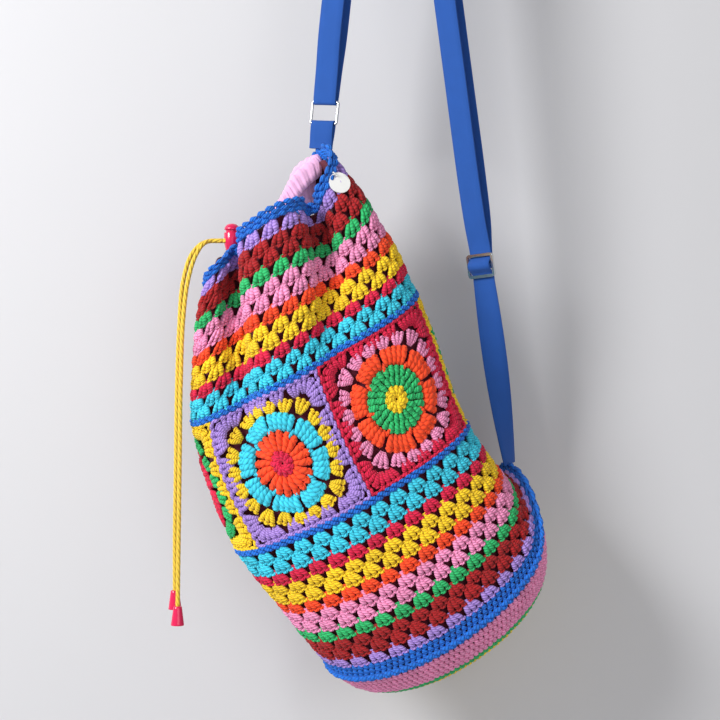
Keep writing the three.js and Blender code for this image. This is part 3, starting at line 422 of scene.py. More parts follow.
class Section:
    def __init__(self, s, lean, reach, slope, sag, gather, flat, seam, peak, foot):
        self.s, self.lean, self.reach, self.peak, self.foot = s, math.radians(lean), reach, peak, foot
        self.a = gather * GIRTH / (math.pi * (3 * (1 + flat) - math.sqrt((3 + flat) * (1 + 3 * flat))))
        self.b = self.a * flat
        self.share = min(1, s / UPPER_JOIN)
        slope, sag = math.radians(slope), math.radians(sag)
        self.e1 = np.array([math.cos(slope), 0, math.sin(slope)])
        down = np.array([math.sin(slope), 0, -math.cos(slope)])
        self.e2 = np.array([0, -math.cos(sag), 0]) + down * math.sin(sag)
        self.centre = np.zeros(3)
        low, high = 0.0, self.b
        for _ in range(30):
            self.depth = (low + high) / 2
            line = self.plain(ROUND, self.depth * fold_shape(ROUND, self.share))
            parts = np.linalg.norm(np.diff(line, axis=0), axis=1)
            low, high = (self.depth, high) if parts.sum() < GIRTH else (low, self.depth)
        self.lengths = np.concatenate([[0], np.cumsum(parts)])
        self.seam_length = np.interp(seam, ROUND, self.lengths)

    def angle_of(self, u):
        total = self.lengths[-1]
        return np.interp((u * total + self.seam_length) % total, self.lengths, ROUND)

    def plain(self, angle, out):
        c, s = np.cos(np.radians(angle)), np.sin(np.radians(angle))
        away = unit(np.outer(c / self.a, self.e1) + np.outer(s / self.b, self.e2))
        oval = self.centre + np.outer(self.a * c, self.e1) + np.outer(self.b * s, self.e2)
        return oval + away * np.reshape(out, (-1, 1))

    def pulled(self, p, angle, peak=1.0, peak_spread=30, lobe=1.0, lobe_spread=26):
        def near(middle, spread):
            turn = (angle - middle + 180) % 360 - 180
            return np.exp(-((turn / spread) ** 2))[:, None]
        p = p + PEAK_PULL * self.peak * peak * near(0, peak_spread)
        p = p + LOBE_PULL * self.peak * lobe * near(LOBE_ANGLE, lobe_spread)
        return p + FOOT_PULL * self.foot * near(FOOT_ANGLE, FOOT_SPREAD)

    def fold(self, angle, inset):
        angle = np.atleast_1d(np.asarray(angle, float))
        return self.pulled(self.plain(angle, self.depth * fold_shape(angle, self.share) - inset), angle)

    def inside(self, angle, inset):
        angle = np.atleast_1d(np.asarray(angle, float))
        c, s = np.cos(np.radians(angle)), np.sin(np.radians(angle))
        less = self.depth + inset
        p = self.centre + np.outer((self.a - less) * c, self.e1) + np.outer((self.b - less) * s, self.e2)
        return self.pulled(p, angle, 0.6, 66, 0.4, 66)


# Each row: distance down, lean and reach of the step, slope, sag, gather, flatness, seam, peak and foot
sections = [Section(*row) for row in [
    (0, 0, 0, 27, -15, 0.59, 0.58, 64, 1, 0),
    (0.3 * UPPER_JOIN, 9, 0.8, 27.5, -6, 0.72, 0.5, 72, 0.55, 0),
    (0.62 * UPPER_JOIN, 10, 0.8, 28, 4, 0.84, 0.48, 80, 0.28, 0),
    (UPPER_JOIN + JOIN / 2, 9, 0.78, 29, 12, 0.95, 0.47, 85, 0.06, 0),
    (LOWER_JOIN + JOIN / 2, 20.4, 1.03, 28.5, 17, 0.992, 0.5, 83, 0, 0),
    (LOWER_BAND + 0.5 * (HEM_TOP - LOWER_BAND), 35.6, 0.83, 30, 24, 0.996, 0.55, 82, 0, 0.15),
    (LOWER_BAND + 0.83 * (HEM_TOP - LOWER_BAND), 36, 0.78, 31.5, 29, 0.996, 0.585, 81, 0, 0.45),
    (HEM, 40, 0.74, 33, 32, 1, 0.605, 80, 0, 1),
]]
mouth, hem = sections[0], sections[-1]
HOOK_RADIUS, LOOP_RADIUS = 12.0, 14.1
LEFT, RIGHT = 454.0, 620.0
RING_DROP, TAB_LENGTH, TAB_INTO_RIM = 22, 25, 0.6
left_lean = math.radians(6.1)
left_down = np.array([-math.sin(left_lean), 0, -math.cos(left_lean)])
hook = np.array([0, 0, -HOOK_RADIUS])
left_start = hook + np.array([-math.cos(left_lean), 0, math.sin(left_lean)]) * LOOP_RADIUS
ring_bottom = left_start + left_down * LEFT + left_down * RING_DROP
tab_foot = ring_bottom + left_down * TAB_LENGTH
rim_end = mouth.a + mouth.depth * fold_shape(np.array([0.0]), 0)[0]
mouth.centre = tab_foot - PEAK_PULL - (0, 0, TAB_INTO_RIM) - mouth.e1 * rim_end
for above, here in zip(sections, sections[1:]):
    step = (here.s - above.s) * here.reach
    here.centre = above.centre + np.array([math.sin(here.lean), 0, -math.cos(here.lean)]) * step
print("mouth centre", mouth.centre.round(2), "hem centre", hem.centre.round(2))

# %% [markdown]
# The surface is sampled once as a fine grid. A stitch is modelled flat, in millimetres across and down the
# opened-out cloth, and then bent onto the grid, so it follows every fold.

# %% Grid of the surface
COLUMNS = 600
WALL_STEP, ABOVE_RIM = 2.4, 8
BASE_DROP = 58
BACK_RIM_PULL, FRONT_RIM_PULL, OPENING_ENDS = np.array([-17, 4, 9.0]), np.array([5, 1.5, 2.0]), 90
levels = np.array([section.s for section in sections])
u_grid = np.arange(COLUMNS) / COLUMNS
turns_round = np.stack([section.angle_of(u_grid) for section in sections])
lines = np.stack([section.fold(angle, 0) for section, angle in zip(sections, turns_round)])
wall_s = np.arange(-ABOVE_RIM, HEM, WALL_STEP)
wall_rows = hermite(levels, lines, tangents(levels, lines), wall_s)


def peak_opening(angle, s):
    """The mouth stands open at its peak: the back of the rim leans left and the front leans right."""
    turn = (np.asarray(angle) + 180) % 360 - 180
    fade = np.clip(1 - s / OPENING_ENDS, 0, 1.2) ** 1.5
    back = np.exp(-(((turn + 32) / 24) ** 2)) * fade
    front = np.exp(-(((turn - 16) / 14) ** 2)) * fade
    return back[..., None] * BACK_RIM_PULL + front[..., None] * FRONT_RIM_PULL


def down_rows(values):
    """Values given at the sections, for every row of the wall."""
    return np.stack([np.interp(wall_s, levels, values[:, c]) for c in range(COLUMNS)], axis=1)


# The two deep folds of the front: the cloth left of each valley tucks in behind the lobe on its right
waves = [down_rows(wave(np.radians(turns_round))) for wave in (np.sin, np.cos)]
row_turns = np.degrees(np.arctan2(*waves)) % 360
valley_share = np.clip(wall_s / UPPER_JOIN, 0, 1)[:, None]
around_row = np.roll(wall_rows, -3, axis=1) - np.roll(wall_rows, 3, axis=1)
outward = unit(np.cross(around_row, np.gradient(wall_rows, axis=0)))
for at_mouth, at_waist, deep, ends, lip in ((50, 74, 15, 175, 0.35), (128, 122, 15, 250, 0.5)):
    valley = at_mouth + (at_waist - at_mouth) * valley_share
    strength = deep * np.clip(1 - (wall_s / ends) ** 2, 0, 1)[:, None]
    tuck = np.exp(-(((row_turns - valley - 5) / 8) ** 2))
    swell = lip * np.exp(-(((row_turns - valley + 12) / 9) ** 2))
    wall_rows = wall_rows + outward * (strength * (swell - tuck))[..., None]
wall_rows = wall_rows + np.stack([peak_opening(row, s) for row, s in zip(row_turns, wall_s)])


def evened(row):
    """The same closed line with its points spread evenly, so that a deeper fold doesn't stretch its stitches."""
    closed = np.concatenate([row, row[:1]])
    share = lengths_along(closed)
    share /= share[-1]
    shift = (share[:-1] - u_grid).mean()
    want = (u_grid + shift) % 1
    return np.stack([np.interp(want, share, closed[:, i]) for i in range(3)], axis=1)


EVENED_TO = 255
wall_rows = np.stack([evened(row) if s < EVENED_TO else row for row, s in zip(wall_rows, wall_s)])
base_down = unit(np.cross(hem.e1, hem.e2))
base_down = base_down * (-1 if base_down[2] > 0 else 1)
near_pole = np.degrees(np.arccos(np.linspace(1, 0, 40) ** 2))
steeps = np.unique(np.concatenate([np.linspace(0, 90, 40), near_pole]).round(3))
shares = np.sqrt(np.cos(np.radians(steeps)))
edge = hem.fold(hem.angle_of(u_grid), 0)
drops = [base_down * math.sin(math.radians(steep)) * BASE_DROP for steep in steeps]
base_rows = np.stack([hem.centre + (edge - hem.centre) * share + drop for share, drop in zip(shares, drops)])
apart = np.linalg.norm(np.diff(base_rows, axis=0), axis=2).mean(axis=1)
base_s = HEM + np.concatenate([[0], np.cumsum(apart)])
grid_s = np.concatenate([wall_s, base_s])
grid = np.concatenate([wall_rows, base_rows])
across = np.roll(grid, -3, axis=1) - np.roll(grid, 3, axis=1)
along = np.gradient(grid, axis=0)
along[len(wall_s) - 1:len(wall_s) + 1] = grid[len(wall_s) + 1] - grid[len(wall_s) - 2]
normals = unit(np.cross(across, along))
normals[-3:] = base_down
girths = np.linalg.norm(np.diff(np.concatenate([grid, grid[:, :1]], axis=1), axis=1), axis=2).sum(axis=1)
PINK_END, GREEN_END, POLE = [float(np.interp(steep, steeps, base_s)) for steep in (34, 45, 90)]


def on_cloth(flat):
    """Bends points x across, y up and z out of the opened-out cloth onto the bag."""
    x, y, z = flat[:, 0], flat[:, 1], flat[:, 2]
    column = (-x / GIRTH % 1) * COLUMNS
    row = np.clip(np.interp(-y, grid_s, np.arange(len(grid_s))), 0, len(grid_s) - 1.001)
    c0, r0 = np.floor(column).astype(int), np.floor(row).astype(int)
    fc, fr = (column - c0)[:, None], (row - r0)[:, None]
    c0 = c0 % COLUMNS
    c1 = (c0 + 1) % COLUMNS

    def at(values):
        top = values[r0, c0] * (1 - fc) + values[r0, c1] * fc
        low = values[r0 + 1, c0] * (1 - fc) + values[r0 + 1, c1] * fc
        return top * (1 - fr) + low * fr

    return at(grid) + unit(at(normals)) * z[:, None]


print("surface grid", grid.shape, "base ends at", round(POLE, 1))

# %% [markdown]
# ## Stitches
# A treble post is a strand of yarn that climbs from its foot to its head, where it bends over. Three posts
# worked into one gap make the fan-shaped cluster that the whole bag is built of. A chain link is the small
# slanted loop of the joining lines. Each is modelled once.

# %% Stitch shapes
def stitch(name, tubes):
    points, faces, uv = [], [], []
    for line, radii, turns, sides in tubes:
        p, f, t = tube(line, radii, sides=sides, turns=turns, first=len(points))
        points, faces, uv = points + p, faces + f, uv + t
    return make_mesh(name, points, faces, uv)


def post_line(foot, head, bulge):
    share = np.array([0, 0.22, 0.5, 0.78, 1.0])
    line = np.outer(1 - share, foot) + np.outer(share, head)
    line[:, 2] += bulge * np.sin(math.pi * share)
    return line


def fan():
    tubes = []
    for side in (-1, 0, 1):
        head = (6.6 * side, 5.6 - 0.9 * abs(side), 0.3)
        tubes.append((post_line((2.1 * side, -8.6, -1.6), head, 1.6), (1.5, 2.1, 2.7, 3.1, 2.7), 1.6, 8))
        crown = np.array([(-2.9, -0.5, -0.2), (-1, 0.9, 0.9), (1, 0.9, 0.9), (2.9, -0.5, -0.2)])
        tubes.append((crown + np.array(head) + (0, 1.4, 0.2), (1.1, 1.9, 1.9, 1.1), 0.8, 6))
    return stitch("fan_stitch", tubes)


fan_stitch = fan()
post_stitch = stitch("post_stitch", [
    (post_line((0, 0, -0.8), (0, 8.6, 0.4), 1.2), (1.6, 2.2, 2.6, 2.8, 2.3), 1.4, 8),
    (np.array([(-2.7, 8.3, 0), (-0.9, 9.4, 1.1), (0.9, 9.4, 1.1), (2.7, 8.3, 0)]), (1.0, 1.7, 1.7, 1.0), 0.8, 6),
])
slanted = np.array([(-5, 1.3, 0), (-2.6, 1.1, 1), (0, 0.3, 1.3), (2.6, -0.6, 1), (5, -1.2, 0)])
chain_stitch = stitch("chain_stitch", [(slanted, (1.0, 2.0, 2.3, 2.0, 1.0), 1.2, 7)])
print("fan stitch has", len(fan_stitch.data.polygons), "faces")

# %% [markdown]
# ## Laying stitches
# One Geometry Nodes tree lays a stitch on every place it is given, lets it wander a little as hand work does,
# stores a random tint for each stitch, and makes it all one mesh. Its inputs are the places, the stitch, the
# yarn, how far stitches wander, and a seed.

# %% Stitch tree
def stitch_tree():
    tree = bpy.data.node_groups.new("Crochet stitches", "GeometryNodeTree")
    for name, kind in (("Places", "Geometry"), ("Stitch", "Object"), ("Yarn", "Material"),
                       ("Wander", "Float"), ("Seed", "Int")):
        tree.interface.new_socket(name, in_out="INPUT", socket_type=f"NodeSocket{kind}")
    tree.interface.new_socket("Fabric", in_out="OUTPUT", socket_type="NodeSocketGeometry")
    nodes, links = tree.nodes, tree.links
    given, result = nodes.new("NodeGroupInput"), nodes.new("NodeGroupOutput")

    def attribute(name):
        node = nodes.new("GeometryNodeInputNamedAttribute")
        node.data_type = "FLOAT_VECTOR"
        node.inputs["Name"].default_value = name
        return node.outputs["Attribute"]

    def chance(kind, low, high, more):
        node = nodes.new("FunctionNodeRandomValue")
        node.data_type = kind
        first = 0 if kind == "FLOAT_VECTOR" else 2
        node.inputs[first].default_value, node.inputs[first + 1].default_value = low, high
        seed = nodes.new("ShaderNodeMath")
        links.new(given.outputs["Seed"], seed.inputs[0])
        seed.inputs[1].default_value = more
        links.new(seed.outputs[0], node.inputs["Seed"])
        return node.outputs[0 if kind == "FLOAT_VECTOR" else 1]

    def vector(operation, a, b):
        node = nodes.new("ShaderNodeVectorMath")
        node.operation = operation
        links.new(a, node.inputs[0])
        links.new(b, node.inputs["Scale" if operation == "SCALE" else 1])
        return node.outputs[0]

    lean = vector("SCALE", chance("FLOAT_VECTOR", (-0.5, -0.5, -1), (0.5, 0.5, 1), 0), given.outputs["Wander"])
    turn = vector("ADD", attribute("turn"), lean)
    size = vector("SCALE", attribute("size"), chance("FLOAT", 0.95, 1.06, 1))
    source = nodes.new("GeometryNodeObjectInfo")
    source.inputs["As Instance"].default_value = True
    links.new(given.outputs["Stitch"], source.inputs["Object"])
    lay = nodes.new("GeometryNodeInstanceOnPoints")
    links.new(given.outputs["Places"], lay.inputs["Points"])
    links.new(source.outputs["Geometry"], lay.inputs["Instance"])
    links.new(turn, lay.inputs["Rotation"])
    links.new(size, lay.inputs["Scale"])
    store = nodes.new("GeometryNodeStoreNamedAttribute")
    store.data_type, store.domain = "FLOAT", "INSTANCE"
    store.inputs["Name"].default_value = "tint"
    links.new(lay.outputs["Instances"], store.inputs["Geometry"])
    links.new(chance("FLOAT", 0.0, 1.0, 2), store.inputs["Value"])
    real = nodes.new("GeometryNodeRealizeInstances")
    links.new(store.outputs["Geometry"], real.inputs["Geometry"])
    paint = nodes.new("GeometryNodeSetMaterial")
    links.new(real.outputs["Geometry"], paint.inputs["Geometry"])
    links.new(given.outputs["Yarn"], paint.inputs["Material"])
    links.new(paint.outputs["Geometry"], result.inputs["Fabric"])
    return tree


TREE = stitch_tree()
SOCKETS = {item.name: item.identifier for item in TREE.interface.items_tree if item.in_out == "INPUT"}


def laid(run, seed):
    """Lays one run of stitches flat: a stitch, its yarn, places, turns, sizes, and how far they wander."""
    shape, material, places, turns, sizes, wander = run
    count = len(places)
    mesh = bpy.data.meshes.new("places")
    mesh.from_pydata((np.asarray(places, float) * MM).tolist(), [], [])
    turns = np.broadcast_to(np.asarray(turns, float).reshape(-1, 3), (count, 3))
    sizes = np.broadcast_to(np.asarray(sizes, float).reshape(-1, 3), (count, 3))
    for name, values in (("turn", turns), ("size", sizes)):
        attribute = mesh.attributes.new(name, "FLOAT_VECTOR", "POINT")
        attribute.data.foreach_set("vector", np.ascontiguousarray(values, np.float32).ravel())
    obj = added("run", mesh)
    modifier = obj.modifiers.new("Stitches", "NODES")
    modifier.node_group = TREE
    for name, value in (("Stitch", shape), ("Yarn", material), ("Wander", float(wander)), ("Seed", int(seed))):
        modifier[SOCKETS[name]] = value
    return settled(obj)


seeds = iter(range(1, 1000))


def crochet(name, runs, node):
    """Lays runs of stitches, bends them onto the bag and lets them stand for a CAD piece."""
    obj = joined(name, *[laid(run, next(seeds)) for run in runs])
    mesh = obj.data
    flat = np.empty(len(mesh.vertices) * 3)
    mesh.vertices.foreach_get("co", flat)
    bent = on_cloth(flat.reshape(-1, 3) / MM) * MM
    mesh.vertices.foreach_set("co", bent.ravel())
    mesh.update()
    return finished(obj, node)


OUT = -1.5


def across_cloth(count, s, out=OUT, shift=0.0):
    x = -(np.arange(count) + shift) * GIRTH / count
    return np.stack([x, np.full(count, -s), np.full(count, out)], axis=1)


UPSIDE_DOWN = (0, 0, math.pi)
print("tree", TREE.name, list(SOCKETS))

# %% [markdown]
# ## Rounds of clusters
# Both bands have twelve rows. The clusters of a row stand in the gaps of the row above, thirty to a round,
# foot up and head down, and each colour is worked for one or two rows before the yarn is changed.

# %% Upper and lower bands
ROUNDS = [("purple", 1), ("dark_red", 2), ("green", 1), ("pink", 2),
          ("orange", 1), ("yellow", 2), ("crimson", 1), ("cyan", 2)]
CLUSTERS = 30


def cluster_row(row, top):
    return across_cloth(CLUSTERS, top + ROW * (row + 0.5), shift=0.5 * (row % 2))


def band(prefix, rounds, top):
    row = 0
    for colour, rows in rounds:
        places = np.concatenate([cluster_row(r, top) for r in range(row, row + rows)])
        run = (fan_stitch, yarn[colour], places, UPSIDE_DOWN, (1, 1, 1), 0.07)
        crochet(f"{prefix}_{colour}_clusters", [run], f"{prefix}_{colour}")
        row += rows


band("upper_round", ROUNDS, RIM)
band("lower_round", ROUNDS[::-1], LOWER_BAND)
print("two bands of", 12 * CLUSTERS, "clusters")

# %% [markdown]
# ## Rim, joining lines, hem and base
# The rim is a row of single stitches between two chained edges. The squares are crocheted onto the bands with
# a blue chained line, and the hem has rows of single stitches and a raised ridge. The base closes in rounds.

# %% Edges and base
def links_round(count, s, out, size, shift=0.0):
    return (chain_stitch, yarn["blue"], across_cloth(count, s, out, shift), (0, 0, 0), size, 0.05)


def single_round(colour, count, s, height, width=1.0, shift=0.0):
    size = (width, height / 10, 0.9)
    return (post_stitch, yarn[colour], across_cloth(count, s, shift=shift), UPSIDE_DOWN, size, 0.05)


crochet("rim_stitches", [
    links_round(72, 1.4, 0.2, (0.95, 1.2, 1.15)),
    single_round("blue", 124, 2.0, 9.6, width=1.05),
    links_round(72, 6.2, 0.6, (0.95, 0.9, 0.9), 0.3),
    links_round(72, 10.6, 0.0, (0.95, 1.0, 1), 0.5),
], "rim_edging")
for name, s in (("upper_joining_round", UPPER_JOIN), ("lower_joining_round", LOWER_JOIN)):
    crochet(f"{name}_chain", [
        links_round(78, s + 1.1, -0.4, (0.9, 0.95, 1)),
        links_round(78, s + 4.1, -0.4, (0.9, 0.95, 1), 0.5),
    ], name)
crochet("hem_stitches", [
    single_round("blue", 100, HEM_TOP + 0.4, 6.2, width=1.05),
    single_round("blue", 100, HEM_TOP + 6.4, 6.2, width=1.05, shift=0.5),
    single_round("blue", 100, HEM_TOP + 12.2, 6.0, width=1.05),
    links_round(72, HEM - 2.6, 1.6, (1, 1.1, 1.1)), links_round(72, HEM - 0.2, 0.4, (1, 1.0, 1.0), 0.5),
], "hem_ridge")


def base_rounds(colour, start, end, rows):
    runs = []
    for i in range(rows):
        height = (end - start) / rows
        s = start + i * height
        girth = float(np.interp(s + 0.7 * height, grid_s, girths))
        count = max(8, round(girth / 6.2))
        width = GIRTH / count / 6.0
        runs.append(single_round(colour, count, s, height * 1.06, width=width, shift=0.5 * (i % 2)))
    return runs


for colour, start, end, rows in (("pink", HEM + 1.5, PINK_END, 4), ("green", PINK_END, GREEN_END, 2),
                                 ("yellow", GREEN_END, POLE - 1, 9)):
    crochet(f"base_{colour}_stitches", base_rounds(colour, start, end, rows), f"base_{colour}_rounds")
print("rim, joins, hem and base laid")

# %% [markdown]
# ## Granny squares
# Each square is worked from its middle: a small ring, one or two rounds of posts, eight fans, a round of
# clusters that turns the circle into a square, and a border of clusters with doubled corners and a chained
# edge. Only the yarns differ between squares.

# %% Granny squares
SQUARES = [
    ("yellow", "green", "green", "orange", "pink", "crimson"),
    ("crimson", "orange", None, "cyan", "yellow", "purple"),
    ("pink", "purple", "purple", "crimson", "green", "yellow"),
    ("yellow", "purple", None, "crimson", "orange", "cyan"),
    ("pink", "cyan", "cyan", "purple", "green", "yellow"),
]


def ring_run(shape, colour, centre, count, radius, size, shift=0.0, squareness=0.0, angles=None, out=OUT):
    angle = 2 * math.pi * (np.arange(count) + shift) / count if angles is None else np.asarray(angles)
    stretch = 1 + squareness * (1 / np.maximum(np.abs(np.cos(angle)), np.abs(np.sin(angle))) - 1)
    r = radius * stretch
    places = np.stack([centre[0] + r * np.cos(angle), centre[1] + r * np.sin(angle), np.full(len(angle), out)], axis=1)
    turns = np.stack([0 * angle, 0 * angle, angle - math.pi / 2], axis=1)
    return (shape, yarn[colour], places, turns, size, 0.05)


def border_runs(colour, centre):
    places, turns, edge_places, edge_turns = [], [], [], []
    corners = [(54.0, 47.5, 0.32), (54.0, -47.5, -0.32)]
    for side in range(4):
        angle = side * math.pi / 2
        c, s = math.cos(angle), math.sin(angle)

        def spot(out, along_side, height):
            return (centre[0] + out * c - along_side * s, centre[1] + out * s + along_side * c, height)

        for out, along_side, lean in [(55.0, 18.5 * i, 0.0) for i in (-2, -1, 0, 1, 2)] + corners:
            places.append(spot(out, along_side, OUT))
            turns.append((0, 0, angle - math.pi / 2 + lean))
        for i in range(15):
            edge_places.append(spot(62, (i - 7) * 8.4, -1.0))
            edge_turns.append((0, 0, angle + math.pi / 2))
    return [
        (fan_stitch, yarn[colour], places, turns, (0.86, 0.8, 0.95), 0.06),
        (chain_stitch, yarn[colour], edge_places, edge_turns, (0.95, 0.85, 1), 0.04),
    ]


def square_runs(k, colours):
    heart, first, second, fans, clusters, border = colours
    centre = (-(k - 0.5) / len(SQUARES) * GIRTH, -(SQUARES_TOP + SIDE / 2))
    runs = [ring_run(post_stitch, heart, centre, 11, 1.6, (0.9, 0.95, 0.95), out=-0.6)]
    if second is None:
        runs.append(ring_run(post_stitch, first, centre, 20, 10.6, (1.15, 1.75, 1.15)))
    else:
        runs.append(ring_run(post_stitch, first, centre, 18, 10.2, (0.95, 0.95, 1)))
        runs.append(ring_run(post_stitch, second, centre, 26, 18.6, (1.05, 0.98, 1), 0.5))
    spread = np.radians([-15.6, -7.8, 0, 7.8, 15.6])
    angles = (2 * math.pi * (np.arange(8) + 0.5)[:, None] / 8 + spread).ravel()
    runs.append(ring_run(post_stitch, fans, centre, 0, 29.5, (1.22, 1.5, 1.1), angles=angles))
    runs.append(ring_run(chain_stitch, fans, centre, 8, 28.6, (0.9, 0.8, 0.9)))
    runs[-1][3][:, 2] += math.pi / 2
    runs.append(ring_run(fan_stitch, clusters, centre, 20, 49.6, (0.82, 0.78, 0.9), 0.5, squareness=0.22))
    return runs + border_runs(border, centre)


for k, colours in enumerate(SQUARES):
    square = f"granny_square_{k + 1}"
    crochet(f"{square}_stitches", square_runs(k, colours), square)
print(len(SQUARES), "granny squares")

# %% [markdown]
# ## Casing for the drawcord
# A strip of cotton is folded over the drawcord and sewn inside the rim. Pulling the cord gathers it, so it
# stands in small uneven ruffles. The channel leaves room for the cord, and an eyelet lets its ends out.

# %% Drawstring casing
CORD, CORD_CLEARANCE, SKIN = 2.2, 1.5, 1.0
CHANNEL = 2 * (CORD + CORD_CLEARANCE)
CASING_MIDDLE = CLOTH + 1.2 + SKIN + CHANNEL / 2
CASING_ABOVE, CASING_BELOW, CASING_HEM = 14, 26, 5
CORD_LEVEL = -(CASING_ABOVE - SKIN - CHANNEL / 2)
GATHERS = 46
EYELET_LOW, EYELET_HIGH = (-35, -7.5, -5.0), (5, 7.5, 8.0)


def inner_ring(angle, s, inset):
    i = 0 if s < sections[1].s else 1
    part = (s - sections[i].s) / (sections[i + 1].s - sections[i].s)
    return sections[i].inside(angle, inset) * (1 - part) + sections[i + 1].inside(angle, inset) * part


def casing_point(angle, s, inward):
    p = inner_ring(angle, s, CASING_MIDDLE)
    around = inner_ring(angle + 2, s, CASING_MIDDLE) - inner_ring(angle - 2, s, CASING_MIDDLE)
    down = inner_ring(angle, s + 1, CASING_MIDDLE) - p
    return p + unit(np.cross(down, around)) * np.reshape(inward, (-1, 1))


def casing_shift(angle, s):
    """The casing leans towards the peak, where it is sewn in under the tab."""
    turn = (np.asarray(angle) + 180) % 360 - 180
    near_peak = np.exp(-(((turn + 6) / 36) ** 2))[:, None] * np.clip(1 - s / CASING_BELOW, 0, 1.3)
    return peak_opening(turn, s) * 0.5 + near_peak * np.array([22, 0, 11.0])


def without(obj, low, high):
    """Cuts a box out of a piece, between two corners in millimetres."""
    bpy.ops.mesh.primitive_cube_add(size=1, location=(np.add(low, high) / 2 * MM).tolist())
    cutter = bpy.context.object
    cutter.scale = (np.subtract(high, low) * MM).tolist()
    cut = obj.modifiers.new("cut", "BOOLEAN")
    cut.object, cut.operation, cut.solver = cutter, "DIFFERENCE", "EXACT"
    settled(obj)
    bpy.data.objects.remove(cutter)
    return obj


def ring_mesh(name, rings, material, closed=False):
    """Skins closed rings of points, in order, with the first and last joined or left as they are."""
    count, last = len(rings[0]), len(rings) - 1
    faces = []
    for a, b in [(i, i + 1) for i in range(last)] + ([(last, 0)] if closed else []):
        for j in range(count):
            k = (j + 1) % count
            faces.append((a * count + j, a * count + k, b * count + k, b * count + j))
    return make_mesh(name, np.concatenate(rings), faces, material=material)


turn_grid = 360 * np.arange(420) / 420
half, hem_down = CHANNEL / 2, CASING_BELOW
outside = half + SKIN
profile = [
    (CASING_HEM, -outside), (-2, -outside - 0.1), (-9, -outside), (-14, -outside), (-15.6, -half * 0.5), (-16, 0),
    (-15.6, half * 0.5), (-14, outside), (-7, outside + 0.1), (2, outside), (14, outside + 0.1), (hem_down, outside),
    (hem_down, half), (14, half), (2, half), (-13, half), (-13, -half), (-4, -half), (CASING_HEM, -half)]
turn_rad = np.radians(turn_grid)
ruffle = 0.45 * np.sin(turn_rad * GATHERS + 1.3 * np.sin(turn_rad * 7)) + 0.2 * np.sin(turn_rad * 89)
rings = []
for s, inward in profile:
    taper = 1 if abs(inward) > half else 0.6
    crest = 0.7 * np.cos(turn_rad * GATHERS) if s < -13.5 else 0
    p = casing_point(turn_grid, s, inward + taper * ruffle) + casing_shift(turn_grid, s)
    rings.append(p + np.array([0, 0, 1.0]) * np.reshape(crest, (-1, 1)))
casing = outward_faces(ring_mesh("gathered_casing", rings, casing_cloth, closed=True))
corner = casing_point(np.array([180.0]), CORD_LEVEL, 0)[0]
without(casing, corner + EYELET_LOW, corner + EYELET_HIGH)
finished(casing, "drawstring_casing")
print("casing", len(casing.data.polygons), "faces, cord corner", corner.round(2))

# %% [markdown]
# ## Lining
# The lining is a bag of cotton sewn in under the casing, coloured dark as painted shade for the inside of the bag.
# It lies close behind the crochet and shows through the gaps between clusters.

# %% Lining
LINING_COLUMNS, LINING_TOP, LINING_DEPTHS = 240, 9, (-8.5, -9.7)
around_bag = -GIRTH * np.arange(LINING_COLUMNS) / LINING_COLUMNS
levels_down = np.concatenate([np.arange(LINING_TOP, HEM - 4, 5.0), np.linspace(HEM - 2, POLE - 2, 26)])


def lining_ring(s, depth):
    return on_cloth(np.stack([around_bag, np.full(LINING_COLUMNS, -s), np.full(LINING_COLUMNS, depth)], axis=1))


outer, inner = [[lining_ring(s, depth) for s in levels_down] for depth in LINING_DEPTHS]
closing = [ring.mean(axis=0) + (ring - ring.mean(axis=0)) * 0.02 for ring in (outer[-1], inner[-1])]
lining = ring_mesh("bag_lining", [*outer, *closing, *inner[::-1]], lining_cloth, closed=True)
weld = lining.modifiers.new("weld", "WELD")
weld.merge_threshold = 0.0006
finished(outward_faces(settled(lining)), "lining")
print("lining", len(lining.data.polygons), "faces")

# %% [markdown]
# ## Drawcord, its ends and the lock
# The drawcord is a limp plied cotton cord. Its two ends leave the lock, bend down over the bag's shoulder and
# hang straight beside it, each with a weighted plastic cone. The lock is a spring toggle: a cup with a hole
# through it, a domed button whose stem has the same hole, and a coil spring below the stem.

# %% Drawcord
LOCK = 8
casing_out = SKIN + CHANNEL / 2 + CORD_CLEARANCE * 0.8
lane_end = LOCK + casing_out + 0.3
lock_centre = corner + np.array([-lane_end, 0, 3.0])
FRONT_CORD = [(0, 0, 0), (-5, 0, 0), (-11, 0, 0), (-18, -5, -3), (-26, -11, -16), (-33, -17, -42), (-37, -22, -80),
              (-39, -25, -140), (-40, -25, -215), (-41, -25, -290), (-42, -25, -367)]
BACK_CORD = [(0, 0, 0), (-5, 0, 0), (-11, 0, 0), (-20, -1, -2), (-31, -5, -14), (-39, -10, -42), (-42, -14, -84),
             (-44, -17, -150), (-45, -18, -225), (-46, -18, -290), (-46, -18, -353)]


LATHE_SIDES = 40


def lathe(name, profile, material):
    """Turns a profile of radii and heights, and closes both ends."""
    angle = 2 * math.pi * np.arange(LATHE_SIDES) / LATHE_SIDES
    rings = [np.stack([r * np.cos(angle), r * np.sin(angle), np.full(LATHE_SIDES, z)], axis=1) for r, z in profile]
    obj = ring_mesh(name, rings, material)
    faces = [tuple(p.vertices) for p in obj.data.polygons]
    bpy.data.objects.remove(obj)
    top = (len(rings) - 1) * LATHE_SIDES
    faces += [tuple(range(LATHE_SIDES)), tuple(top + j for j in reversed(range(LATHE_SIDES)))]
    obj = outward_faces(make_mesh(name, np.concatenate(rings), faces, material=material))
    obj.data.set_sharp_from_angle(angle=math.radians(50))
    return obj


def set_at(obj, place, up):
    turn = Vector((0, 0, 1)).rotation_difference(Vector(up.tolist())).to_matrix().to_4x4()
    turn.translation = Vector((place * MM).tolist())
    obj.data.transform(turn)
    return obj


def lane(x, side):
    return lock_centre + np.array([x, side * (CORD + 0.2), 0])


